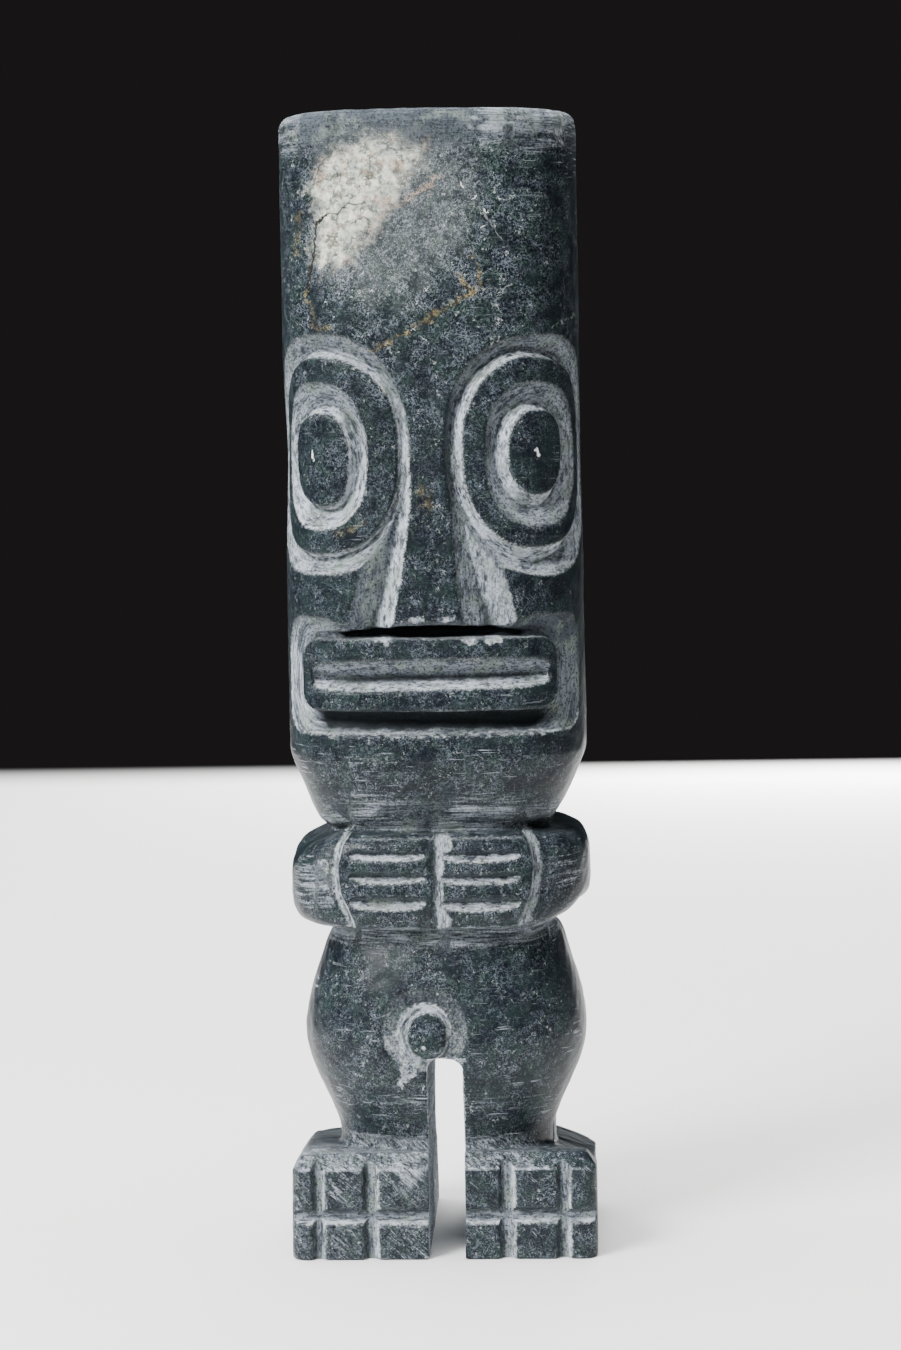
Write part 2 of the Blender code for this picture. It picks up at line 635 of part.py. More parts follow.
def centre_on_base(figure, tools):
    """Move the figure and its cutters so that its widest parts lie evenly about the origin."""
    bpy.context.view_layer.update()
    evaluated = figure.evaluated_get(bpy.context.evaluated_depsgraph_get())
    points = np.array([vertex.co[:] for vertex in evaluated.data.vertices])
    middle = (points.min(axis=0) + points.max(axis=0)) / 2
    for thing in [figure] + tools:
        for vertex in thing.data.vertices:
            vertex.co.x -= middle[0]
            vertex.co.y -= middle[1]
        thing.data.update()


def main():
    """Build the figure."""
    for thing in list(bpy.data.objects):
        bpy.data.objects.remove(thing, do_unlink=True)
    parts = bpy.data.collections.new("stone_deity_figure")
    cutters = bpy.data.collections.new("cutters")
    for collection in (parts, cutters):
        bpy.context.scene.collection.children.link(collection)
    sections = trunk_sections()
    skin = Skin(sections)
    figure = make_trunk(sections, parts)
    figure.data.materials.append(stone_material())
    feet = make_feet(cutters)
    apply_boolean(figure, feet, "UNION")
    tools = make_leg_gap(cutters) + make_toes(cutters) + make_knob(skin, cutters)
    tools += make_eyes(skin, cutters) + make_nose_creases(skin, cutters)
    tools += make_mouth(skin, cutters) + make_hands(skin, cutters)
    for tool in tools:
        apply_boolean(figure, tool, "DIFFERENCE")
    centre_on_base(figure, [feet] + tools)


main()
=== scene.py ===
"""Looks of the carved stone figure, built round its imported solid.

One finely carved mesh stands for the plain solid. A blank with the solid's sizes is modelled first:
trunk, feet and the slot between the legs. Its skin is then rolled out flat, so that a place on it is
(around, level): the length round the section from its front centre, positive towards +X, and the
level above the floor. Each cut of the carving is a small class that says how deep the stone is cut at
such a place, how far that place is from the cut's edge and which way the tool ran. The same answers
steer the stone's finish: polished where the skin is left, chalky and scratched where it is cut.

The blank is modelled at one unit to the millimetre and brought to metres at the end.
"""

import logging
import math
from collections.abc import Callable, Sequence
from dataclasses import dataclass
from enum import Enum

import bpy
import numpy as np
from mathutils import Matrix, Vector


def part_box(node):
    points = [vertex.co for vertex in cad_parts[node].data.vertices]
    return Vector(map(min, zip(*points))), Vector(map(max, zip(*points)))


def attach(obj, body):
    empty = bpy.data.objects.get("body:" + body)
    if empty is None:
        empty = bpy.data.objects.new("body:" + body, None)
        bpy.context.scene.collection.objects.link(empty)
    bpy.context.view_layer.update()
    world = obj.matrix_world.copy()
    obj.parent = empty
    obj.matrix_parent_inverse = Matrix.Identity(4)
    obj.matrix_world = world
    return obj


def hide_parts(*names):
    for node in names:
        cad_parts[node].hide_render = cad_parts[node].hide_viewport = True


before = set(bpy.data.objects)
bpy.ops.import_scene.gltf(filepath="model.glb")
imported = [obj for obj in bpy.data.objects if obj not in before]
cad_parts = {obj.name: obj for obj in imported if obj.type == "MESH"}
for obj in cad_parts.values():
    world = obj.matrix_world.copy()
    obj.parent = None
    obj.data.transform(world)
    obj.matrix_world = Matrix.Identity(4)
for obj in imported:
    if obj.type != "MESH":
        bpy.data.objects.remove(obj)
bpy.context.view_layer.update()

LOG = logging.getLogger("stone_figure")
MM = 0.001
VOXEL = 0.27  # Width of the fine mesh's faces in millimetres.
GRAIN_ALONG = 0.28
SKIN_LIGHT = 0.42
FAR = 50.0

Array = np.ndarray
Place = tuple[float, float]
Spot = tuple[float, float, float]
Colour = tuple[float, float, float]


def rows(*columns: object) -> Array:
    """Join columns, or single numbers, to rows."""
    return np.stack(np.broadcast_arrays(*columns), axis=1)


def soft_step(value: Array, start: float, end: float) -> Array:
    """Rise softly from 0 to 1.

    Args:
        value: Numbers to step.
        start: Value at which the step leaves 0.
        end: Value at which it reaches 1.

    Returns:
        Array: The stepped numbers.
    """
    share = np.clip((value - start) / (end - start), 0.0, 1.0)
    return share * share * (3.0 - 2.0 * share)


def soft_bump(value: Array, middle: float, reach: float) -> Array:
    """Return a soft bump, 1 at its middle and 0 from its reach on."""
    share = np.clip(np.abs(value - middle) / reach, 0.0, 1.0)
    return (1.0 - share * share) ** 2


def signed_power(value: Array, power: float) -> Array:
    """Raise numbers to a power and keep their signs."""
    return np.sign(value) * np.abs(value) ** power


def wander(points: Array, pitch: float, seed: int, waves: int = 9) -> Array:
    """Give a smooth uneven field, as a hand-cut surface has.

    Args:
        points: Points or places, one a row.
        pitch: Typical distance from crest to crest.
        seed: Picks the field.
        waves: How many waves are laid over each other.

    Returns:
        Array: One number a row, mostly between -1 and 1.
    """
    random = np.random.default_rng(seed)
    total = np.zeros(len(points))
    for _ in range(waves):
        way = random.normal(size=points.shape[1])
        way /= np.linalg.norm(way)
        length = pitch * random.uniform(0.6, 1.6)
        total += np.sin(points @ way * (2.0 * math.pi / length) + random.uniform(0.0, 2.0 * math.pi))
    return total / math.sqrt(waves)


def round_bearing(bearing: Array, values: Sequence[float]) -> Array:
    """Blend values that are given at even bearings, the first at +X and the rest counted upwards from it.

    Args:
        bearing: Bearings in radians.
        values: The values, for instance eight of them, an eighth of a turn apart.

    Returns:
        Array: The blended value at each bearing.
    """
    turns = np.linspace(0.0, 2.0 * math.pi, len(values) + 1)
    return np.interp(bearing % (2.0 * math.pi), turns, (*values, values[0]))


def polygon_inside(points: Array, corners: Sequence[Place]) -> Array:
    """Measure how far places lie inside a closed outline.

    Args:
        points: Places, one a row.
        corners: Corners of the outline in order.

    Returns:
        Array: Distance to the outline, positive inside.
    """
    ring = np.array(corners)
    nearest = np.full(len(points), np.inf)
    inside = np.zeros(len(points), bool)
    for start, end in zip(ring, np.roll(ring, -1, axis=0)):
        run = end - start
        offset = points - start
        share = np.clip(offset @ run / (run @ run), 0.0, 1.0)
        nearest = np.minimum(nearest, np.linalg.norm(offset - share[:, None] * run, axis=1))
        crosses = (start[1] > points[:, 1]) != (end[1] > points[:, 1])
        rise = np.where(crosses, run[1], 1.0)
        inside ^= crosses & (points[:, 0] < start[0] + run[0] * offset[:, 1] / rise)
    return np.where(inside, nearest, -nearest)


@dataclass(frozen=True)
class Trunk:
    """Sizes of the trunk in millimetres, as the solid has them but for slightly sharper corners."""

    foot_inside: float = 5.5
    ankle: float = 18.3
    hip: float = 34.5
    waist: float = 51.9
    neck: float = 67.3
    jaw: float = 80.0
    crown: float = 180.0
    ankle_half: float = 17.5
    hip_half: float = 22.8
    waist_half: float = 17.4
    arm_band_half: float = 24.0
    neck_half: float = 17.5
    jaw_half: float = 23.8
    brow_half: float = 23.5
    depth_share: float = 0.826
    leg_square: float = 2.6
    arm_band_square: float = 3.4
    head_square: float = 3.1
    hip_shift: float = 0.2
    arm_band_shift: float = -0.25
    jaw_shift: float = -0.4
    brow_shift: float = -0.7
    belly_ease: float = 1.6
    chin_ease: float = 1.35
    arm_band_edge: float = 3.6
    crown_side: float = 2.0
    crown_height: float = 2.4
    crown_dome: float = 0.10
    tip_half: float = 0.8
    stretch_steps: int = 60
    shortest_step: float = 1e-4

    def profile(self) -> Array:
        """Return rows of level, half width, squareness and sideways shift, from feet to crown."""
        share = np.linspace(0.0, 1.0, self.stretch_steps)
        turn = share * math.pi / 2.0
        band_turn = (share * 2.0 - 1.0) * math.pi / 2.0
        spread = (0.5 - 0.5 * np.cos(math.pi * share) + np.sin(turn)) / 2.0
        rise = signed_power(np.sin(band_turn), 2.0 / self.arm_band_edge)
        bulge = np.abs(np.cos(band_turn)) ** (2.0 / self.arm_band_edge)
        root = np.where(rise < 0.0, self.waist_half, self.neck_half)
        brow = self.crown - self.crown_dome - self.crown_height
        flat = self.brow_half - self.crown_side
        stretches = [
            (self.foot_inside + (self.ankle - self.foot_inside) * share, self.ankle_half,
             self.leg_square, self.hip_shift),
            (self.ankle + (self.hip - self.ankle) * share,
             self.ankle_half + (self.hip_half - self.ankle_half) * spread,
             self.leg_square, self.hip_shift),
            (self.hip + (self.waist - self.hip) * share,
             self.hip_half + (self.waist_half - self.hip_half) * share ** self.belly_ease,
             self.leg_square, self.hip_shift),
            ((self.waist + self.neck) / 2.0 + rise * (self.neck - self.waist) / 2.0,
             root + (self.arm_band_half - root) * bulge,
             self.arm_band_square, self.arm_band_shift),
            (self.neck + (self.jaw - self.neck) * share,
             self.jaw_half + (self.neck_half - self.jaw_half) * (1.0 - share) ** self.chin_ease,
             self.arm_band_square + (self.head_square - self.arm_band_square) * share,
             self.jaw_shift),
            (self.jaw + (brow - self.jaw) * share, self.jaw_half + (self.brow_half - self.jaw_half) * share,
             self.head_square, self.jaw_shift + (self.brow_shift - self.jaw_shift) * share),
            (brow + self.crown_height * np.sin(turn), self.brow_half - self.crown_side * (1.0 - np.cos(turn)),
             self.head_square, self.brow_shift),
            (self.crown - self.crown_dome * (1.0 - share) ** 2, flat + (self.tip_half - flat) * share,
             self.head_square, self.brow_shift),
        ]
        stations = np.concatenate([rows(*stretch) for stretch in stretches])
        steps = np.linalg.norm(np.diff(stations[:, :2], axis=0), axis=1)
        return stations[np.concatenate(([True], steps > self.shortest_step))]


@dataclass
class Places:
    """Where points lie on the rolled-out skin, all in millimetres.

    Attributes:
        around: Length round the section from its front centre.
        level: Height above the floor.
        height: Distance out from the skin, negative inside the stone.
        outward: Level direction straight out of the skin, as x and y.
        points: The points themselves.
    """

    around: Array
    level: Array
    height: Array
    outward: Array
    points: Array

    @property
    def flat(self) -> Array:
        """Around and level as rows."""
        return rows(self.around, self.level)


class Skin:
    """The trunk's skin, rolled out flat."""

    SQUARES = np.linspace(2.6, 3.4, 9)
    SAMPLES = 1441
    STEPS = 6
    SMALLEST_HALF = 6.0

    def __init__(self, trunk: Trunk) -> None:
        """Roll the trunk's sections out.

        Args:
            trunk: The trunk's sizes.
        """
        self.trunk = trunk
        self.profile = trunk.profile()
        outlines = [self.unit_outline(square) for square in self.SQUARES]
        self.units = np.array([points for points, _ in outlines])
        self.half_rounds = np.array([length for _, length in outlines])

    def unit_outline(self, square: float) -> tuple[Array, float]:
        """Trace a section of half width 1 from its back over its front to its back again.

        Args:
            square: The section's squareness.

        Returns:
            tuple: Points at even lengths along the outline, and half its length.
        """
        turns = np.linspace(-math.pi, math.pi, self.SAMPLES * 6)
        x = signed_power(np.sin(turns), 2.0 / square)
        y = -self.trunk.depth_share * signed_power(np.cos(turns), 2.0 / square)
        lengths = np.concatenate(([0.0], np.cumsum(np.hypot(np.diff(x), np.diff(y)))))
        even = np.linspace(0.0, lengths[-1], self.SAMPLES)
        return rows(np.interp(even, lengths, x), np.interp(even, lengths, y)), lengths[-1] / 2.0

    def sections(self, level: Array) -> tuple[Array, Array, Array]:
        """Return half width, squareness and shift at levels."""
        return tuple(np.interp(level, self.profile[:, 0], self.profile[:, column]) for column in (1, 2, 3))

    def unit_point(self, share: Array, square: Array) -> Array:
        """Find points on sections of half width 1.

        Args:
            share: Places round the section, from -1 at the back over 0 in front to 1 at the back.
            square: Squareness of each section.

        Returns:
            Array: The points' x and y.
        """
        column = (np.clip(share, -1.0, 1.0) + 1.0) / 2.0 * (self.SAMPLES - 1)
        left = np.minimum(column.astype(int), self.SAMPLES - 2)
        across = (column - left)[:, None]
        row = (square - self.SQUARES[0]) / (self.SQUARES[1] - self.SQUARES[0])
        low = np.clip(row.astype(int), 0, len(self.SQUARES) - 2)
        up = (row - low)[:, None]
        lower = self.units[low, left] * (1.0 - across) + self.units[low, left + 1] * across
        upper = self.units[low + 1, left] * (1.0 - across) + self.units[low + 1, left + 1] * across
        return lower * (1.0 - up) + upper * up

    def unit_run(self, share: Array, square: Array) -> Array:
        """Return the direction in which sections run on at a place."""
        margin = 2.0 / self.SAMPLES
        run = self.unit_point(share + margin, square) - self.unit_point(share - margin, square)
        return run / np.linalg.norm(run, axis=1)[:, None]

    def places(self, points: Array) -> Places:
        """Drop points square onto the skin.

        Args:
            points: Points in millimetres, one a row.

        Returns:
            Places: Where they lie.
        """
        half, square, shift = self.sections(points[:, 2])
        half = np.maximum(half, self.SMALLEST_HALF)
        unit = rows((points[:, 0] - shift) / half, points[:, 1] / half)
        half_round = np.interp(square, self.SQUARES, self.half_rounds)
        middle = self.units[len(self.SQUARES) // 2]
        bearings = np.unwrap(np.arctan2(middle[:, 0], -middle[:, 1]))
        bearing = np.arctan2(unit[:, 0], -unit[:, 1])
        share = np.interp(bearing, bearings, np.linspace(-1.0, 1.0, self.SAMPLES))
        for _ in range(self.STEPS):
            near = self.unit_point(share, square)
            run = self.unit_run(share, square)
            share = share + ((unit - near) * run).sum(axis=1) / half_round
            share = (share + 1.0) % 2.0 - 1.0
        near = self.unit_point(share, square)
        run = self.unit_run(share, square)
        outward = rows(run[:, 1], -run[:, 0])
        height = ((unit - near) * outward).sum(axis=1) * half
        return Places(share * half_round * half, points[:, 2], height, outward, points)


@dataclass
class Cut:
    """What one cut says of each place.

    Attributes:
        depth: How deep the stone is cut there.
        inside: Distance in from the cut's edge, positive inside it.
        grain: Coordinates that run fast across the tool's way and slowly along it.
        floor: Signed distance from the cut's deepest line.
        light: How pale the cut stone is painted, from 0 to 1: chalk painted paler on faces turned to
            the lamp and darker on faces turned away, as painted light and shade.
    """

    depth: Array
    inside: Array
    grain: Array
    floor: Array
    light: Array

    def take(self, other: "Cut", ahead: Array) -> None:
        """Take over all but the depth of another cut at some places."""
        for name in ("inside", "grain", "floor", "light"):
            getattr(self, name)[ahead] = getattr(other, name)[ahead]


class SkinCut:
    """One cut of the skin."""

    def cut(self, places: Places) -> Cut:
        """Return what the cut takes out."""
        raise NotImplementedError


@dataclass(frozen=True)
class Oval:
    """An oval on the skin, with its own reach to each side of its middle."""

    around: float
    level: float
    left: float
    right: float
    up: float
    down: float
    square: float = 2.35
    uneven: float = 0.012
    waves: tuple[int, ...] = (2, 3, 5, 7, 11)
    seed: int = 0

    def polar(self, places: Places) -> tuple[Array, Array, Array]:
        """Measure places from the oval's middle.

        Args:
            places: Places on the skin.

        Returns:
            tuple: Distance from the middle, bearing, and the oval's own reach at that bearing.
        """
        across = places.around - self.around
        rise = places.level - self.level
        distance = np.hypot(across, rise)
        bearing = np.arctan2(rise, across)
        side = np.where(across > 0.0, self.right, self.left)
        climb = np.where(rise > 0.0, self.up, self.down)
        inverse = np.abs(np.cos(bearing) / side) ** self.square
        inverse = inverse + np.abs(np.sin(bearing) / climb) ** self.square
        reach = inverse ** (-1.0 / self.square)
        random = np.random.default_rng(self.seed)
        for wave in self.waves:
            swing = np.sin(wave * bearing + random.uniform(0.0, 6.3))
            reach = reach * (1.0 + self.uneven / wave ** 0.5 * swing)
        return distance, bearing, reach


@dataclass(frozen=True)
class RingGroove(SkinCut):
    """A groove between two ovals: a wall down from the inner one and a slope up to the outer one.

    The wall's width, the slope's paleness and the share of the depth are given at even bearings from
    +X on, counted upwards. The paleness is painted light and shade: slopes turned to the lamp are painted
    paler, slopes turned away darker, and the steep wall palest, partly as a painted highlight.
    """

    inner: Oval
    outer: Oval
    depth: float
    walls: tuple[float, ...]
    slopes: tuple[float, ...] = (0.35, 0.35)
    shares: tuple[float, ...] = (1.0, 1.0)
    ease: float = 1.1
    bare: float = FAR

    def cut(self, places: Places) -> Cut:
        """Return what the groove cuts.

        Args:
            places: Places on the skin.

        Returns:
            Cut: Its depth, edge, grain, floor line and paleness at each place.
        """
        distance, bearing, low = self.inner.polar(places)
        outer_distance, _, high = self.outer.polar(places)
        from_inner = distance - low
        from_outer = high - outer_distance
        wall = round_bearing(bearing, self.walls)
        width = np.maximum(from_inner + from_outer, wall + 0.4)
        slope = np.clip(from_outer / (width - wall), 0.0, 1.0) ** self.ease
        fall = np.clip(from_inner / wall, 0.0, 1.0)
        share = np.minimum(fall * (1.3 - 0.3 * fall), slope)
        depth = self.depth * round_bearing(bearing, self.shares) * share
        inside = np.minimum(np.minimum(from_inner, from_outer), self.bare)
        round_run = distance * GRAIN_ALONG
        grain = rows(round_run * np.cos(bearing), round_run * np.sin(bearing), from_inner)
        # Painted light and shade: the slope's paleness is set by bearing, and the wall is painted palest,
        # partly as a painted highlight.
        slope_light = round_bearing(bearing, self.slopes)
        light = slope_light + (1.0 - slope_light) * soft_step(wall - from_inner, -0.25, 0.35)
        return Cut(depth, inside, grain, from_inner - wall, light)


@dataclass(frozen=True)
class Panel:
    """A box with round corners on the skin."""

    around: float
    level: float
    half_width: float
    half_height: float
    corner: float

    def outside(self, places: Places) -> Array:
        """Return the distance of places out from the panel's edge, negative inside."""
        across = np.abs(places.around - self.around) - self.half_width + self.corner
        rise = np.abs(places.level - self.level) - self.half_height + self.corner
        beyond = np.hypot(np.maximum(across, 0.0), np.maximum(rise, 0.0))
        return beyond + np.minimum(np.maximum(across, rise), 0.0) - self.corner


@dataclass(frozen=True)
class MouthRecess(SkinCut):
    """The recess round the lips: a deep trough below them and a shallow slope beside them."""

    lips: Panel
    rim: Panel
    side_depth: float = 1.7
    bottom_depth: float = 3.5
    top_depth: float = 2.2
    wall: float = 0.4
    bottom_rise: float = 1.5
    nose_drop: float = 0.8

    def cut(self, places: Places) -> Cut:
        """Return what the recess cuts.

        Args:
            places: Places on the skin.

        Returns:
            Cut: Its depth, edge, grain, floor line and paleness at each place.
        """
        from_lips = self.lips.outside(places)
        uneven = 0.12 * wander(places.flat, 3.0, 41) + 0.08 * wander(places.flat, 0.9, 42)
        from_rim = uneven - self.rim.outside(places)
        rise = (places.level - self.lips.level) / self.lips.half_height
        across = np.abs(places.around - self.lips.around)
        under_nose = soft_step(-across, -self.lips.half_width + 4.0, -self.lips.half_width + 8.0)
        from_rim -= self.nose_drop * under_nose * soft_step(rise, 1.0, 1.2)
        middle = soft_step(-across, -self.lips.half_width - 0.5, -self.lips.half_width + 4.5)
        down = soft_step(-rise, 0.5, 1.05) * (0.15 + 0.85 * middle)
        up = soft_step(rise, 0.5, 1.05) * (0.3 + 0.7 * middle)
        full = self.side_depth + (self.bottom_depth - self.side_depth) * down
        full += (self.top_depth - self.side_depth) * up
        width = np.maximum(from_lips + from_rim, 0.8)
        run = width + (self.bottom_rise - width) * down
        depth = full * np.clip(from_rim / run, 0.0, 1.0) ** (1.0 - 0.25 * down)
        depth = depth * soft_step(from_lips, 0.0, self.wall)
        inside = np.minimum(from_lips + 0.1, from_rim)
        turn = np.arctan2(places.level - self.lips.level, places.around - self.lips.around)
        grain = rows(np.cos(turn) * 2.5, np.sin(turn) * 2.5, from_lips)
        # Painted light and shade on the chalk: paler on the left than on the right, darker above the lips and
        # in the trough under them, with the trough's lower wall and the lips' edge painted palest.
        light = 0.55 - 0.30 * (places.around - self.lips.around) / self.rim.half_width
        light -= 0.4 * soft_step(rise, 0.4, 1.1) + 0.15 * soft_step(-rise, 0.9, 1.3)
        light = np.maximum(light, 0.9 * soft_step(-from_rim, -0.9, -0.2) * soft_step(-rise, 1.0, 1.3))
        light = np.clip(np.maximum(light, 0.85 * soft_step(-from_lips, -0.35, -0.1)), 0.0, 1.0)
        return Cut(depth, inside, grain, from_lips - self.wall, light)


@dataclass(frozen=True)
class Slit(SkinCut):
    """A long cut with rounded ends: a shaded upper slope and a lit lower wall.

    The deepest line may lie off the middle and may tilt.
    """

    around: float
    level: float
    half_run: float
    up: float
    down: float
    depth: float
    deepest: float = 0.0
    tilt: float = 0.0
    bow: float = 0.0
    square: float = 4.0
    upper_step: float = 0.35
    lower_ease: float = 0.9
    upper_light: float = 0.42
    lower_light: float = 0.95
    seed: int = 0

    def cut(self, places: Places) -> Cut:
        """Return what the slit cuts.

        Args:
            places: Places on the skin.

        Returns:
            Cut: Its depth, edge, grain, floor line and paleness at each place.
        """
        run = (places.around - self.around) / self.half_run
        uneven = 0.06 * wander(places.flat, 2.2, self.seed + 3)
        uneven = uneven + 0.04 * wander(places.flat, 0.8, self.seed + 4)
        end = np.clip(1.0 - np.abs(run) ** self.square, 0.0, 1.0) ** (1.0 / self.square)
        middle = self.level + self.bow * (1.0 - run * run) + self.tilt * run + uneven
        above = places.level - middle
        to_top = self.up * end - above
        to_bottom = above + self.down * end
        past = above - self.deepest * end
        upper_run = np.maximum(self.up * end - self.deepest * end, 0.05)
        lower_run = np.maximum(self.down * end + self.deepest * end, 0.05)
        upper = np.clip(to_top / upper_run, 0.0, 1.0)
        lower = np.clip(to_bottom / lower_run, 0.0, 1.0) ** self.lower_ease
        upper = self.upper_step * soft_step(upper, 0.0, 0.22) + (1.0 - self.upper_step) * upper ** 1.6
        depth = self.depth * np.where(past > 0.0, upper, lower) * end
        inside = np.minimum(to_top, to_bottom)
        inside = np.where(np.abs(run) < 1.0, inside, (1.0 - np.abs(run)) * self.half_run)
        grain = rows(places.around * GRAIN_ALONG, places.level, self.seed)
        # Painted light and shade: the upper slope is painted darker towards the deepest line and the lower
        # wall paler, as if lit from above.
        light = np.where(past > 0.0, self.upper_light * (1.0 - 0.6 * upper), self.lower_light)
        return Cut(depth, inside, grain, past, light)


@dataclass(frozen=True)
class NoseSlot(SkinCut):
    """The slot between the nose and the lips, bowed up in its middle; its black is painted shade."""

    low: float = 98.4
    high: float = 100.1
    fall: float = 1.3
    half_run: float = 18.2
    depth: float = 5.0
    wall: float = 0.35
    seed: int = 9

    def cut(self, places: Places) -> Cut:
        """Return what the slot cuts.

        Args:
            places: Places on the skin.

        Returns:
            Cut: Its depth, edge, grain, floor line and paleness at each place.
        """
        run = places.around / self.half_run
        top = self.high - self.fall * run * run + 0.06 * wander(places.flat, 1.5, 51)
        inside = np.minimum(top - places.level, places.level - self.low)
        inside = np.minimum(inside, (1.0 - np.abs(run)) * self.half_run)
        fade = np.clip(1.0 - np.abs(run) ** 5.0, 0.0, 1.0)
        depth = self.depth * soft_step(inside, 0.0, self.wall) * (0.35 + 0.65 * fade)
        grain = rows(places.around * GRAIN_ALONG, places.level, self.seed)
        # The slot's chalk gets paleness 0: painted shade.
        return Cut(depth, inside, grain, 0.0 * inside, 0.0 * inside)


@dataclass(frozen=True)
class Valley(SkinCut):
    """A V-shaped crease between two lines that run down the skin, deepest along a third line.

    Each line gives its place around at each of the levels.
    """

    levels: Sequence[float]
    steep_edge: Sequence[float]
    floor: Sequence[float]
    gentle_edge: Sequence[float]
    depths: Sequence[float]
    floor_half: float = 0.25
    band: float = FAR
    wall_light: float = 0.95
    slope_light: float = 0.35
    seed: int = 0

    def cut(self, places: Places) -> Cut:
        """Return what the crease cuts.

        Args:
            places: Places on the skin.

        Returns:
            Cut: Its depth, edge, grain, floor line and paleness at each place.
        """
        uneven = 0.08 * wander(places.flat, 2.5, self.seed + 5)
        steep, floor, gentle, full = (
            np.interp(places.level, self.levels, line)
            for line in (self.steep_edge, self.floor, self.gentle_edge, self.depths))
        side = np.sign(gentle - steep)
        from_steep = (places.around - steep) * side + uneven
        from_gentle = (gentle - places.around) * side + uneven
        wall = np.maximum((floor - steep) * side - self.floor_half, 0.2)
        slope = np.maximum((gentle - floor) * side - self.floor_half, 0.2)
        fall = np.clip(from_steep / wall, 0.0, 1.0)
        share = np.minimum(fall, np.clip(from_gentle / slope, 0.0, 1.0) ** 1.2)
        reach = np.minimum(places.level - self.levels[0], self.levels[-1] - places.level)
        depth = full * share * soft_step(reach, -0.1, 0.4)
        inside = np.minimum(np.minimum(from_steep, from_gentle), np.minimum(reach, self.band - from_steep))
        grain = rows(places.around, places.level * GRAIN_ALONG, self.seed)
        past = (places.around - floor) * side
        # Painted light and shade: the steep wall and the gentle slope each get their own paleness, set by how
        # they face the lamp.
        light = self.wall_light + (self.slope_light - self.wall_light) * soft_step(past, -0.3, 0.4)
        return Cut(depth, inside, grain, past, light)


@dataclass(frozen=True)
class Scoop(SkinCut):
    """A soft hollow, or a chip, with a ragged edge."""

    around: float
    level: float
    reach: float
    depth: float
    stretch: float = 1.0
    turn: float = 0.0
    ragged: float = 0.25
    shows: bool = True
    light: float = 0.75

    def cut(self, places: Places) -> Cut:
        """Return what the scoop takes out.

        Args:
            places: Places on the skin.

        Returns:
            Cut: Its depth, edge, grain, floor line and paleness at each place.
        """
        across = places.around - self.around
        rise = places.level - self.level
        along = across * math.cos(self.turn) + rise * math.sin(self.turn)
        aside = rise * math.cos(self.turn) - across * math.sin(self.turn)
        distance = np.hypot(along / self.stretch, aside) / self.reach
        seed = int(abs(self.around) * 10.0 + self.level)
        distance = distance * (1.0 + self.ragged * wander(places.points, self.reach * 1.2, seed))
        depth = self.depth * (1.0 - soft_step(distance, 0.0, 1.0))
        inside = (1.0 - distance) * self.reach if self.shows else np.full(len(distance), -FAR)
        far = np.full(len(distance), FAR)
        return Cut(depth, inside, places.points * 0.7, far, np.full(len(distance), self.light))


class Carving:
    """All the cuts of the figure's skin, taken together."""

    def __init__(self, cuts: Sequence[SkinCut]) -> None:
        """Keep the cuts."""
        self.cuts = list(cuts)

    def over(self, places: Places) -> Cut:
        """Lay the cuts over each other.

        Args:
            places: Places on the skin.

        Returns:
            Cut: The deepest depth, and all else from the cut whose edge is farthest away.
        """
        count = len(places.level)
        whole = Cut(np.zeros(count), np.full(count, -FAR), places.points.copy(), np.full(count, FAR),
                    np.full(count, SKIN_LIGHT))
        for cut in self.cuts:
            one = cut.cut(places)
            whole.take(one, one.inside > whole.inside)
            whole.depth = np.maximum(whole.depth, one.depth)
        return whole


@dataclass(frozen=True)
class Channel:
    """A straight channel in the front of the feet, with a floor and one sloping wall.

    It runs upright between toes, or level across them. Its sloping wall is on its +X side, or below.
    """

    middle: float
    width: float = 2.7
    depth: float = 1.35
    level: bool = False
    wall: float = 0.45
    slope_share: float = 0.42
    rim_share: float = 0.22
    floor_light: float = 0.36
    seed: int = 0

    def cut(self, points: Array) -> Cut:
        """Return what the channel cuts from the flat front of the feet.

        Args:
            points: Points in millimetres, one a row.

        Returns:
            Cut: Its depth, edge, grain, floor line and paleness at each place.
        """
        across, along = (points[:, 2], points[:, 0]) if self.level else (points[:, 0], points[:, 2])
        lines = rows(across, along)
        uneven = 0.07 * wander(lines, 2.6, self.seed + 7) + 0.04 * wander(lines, 0.9, self.seed + 8)
        offset = (across - self.middle + uneven) * (-1.0 if self.level else 1.0)
        from_wall = offset + self.width / 2.0
        from_slope = self.width / 2.0 - offset
        slope, rim = self.width * self.slope_share, self.width * self.rim_share
        share = soft_step(from_wall, 0.0, self.wall) * np.clip(from_slope / slope, 0.0, 1.0)
        grain = rows(across, along * 0.5 * GRAIN_ALONG, self.seed)
        # Painted light and shade: the floor is painted darker and the sloping wall paler, as if lit.
        light = self.floor_light + (1.0 - self.floor_light) * soft_step(-from_slope, -slope, -rim)
        return Cut(self.depth * share, np.minimum(from_wall, from_slope), grain, from_wall - 0.5, light)


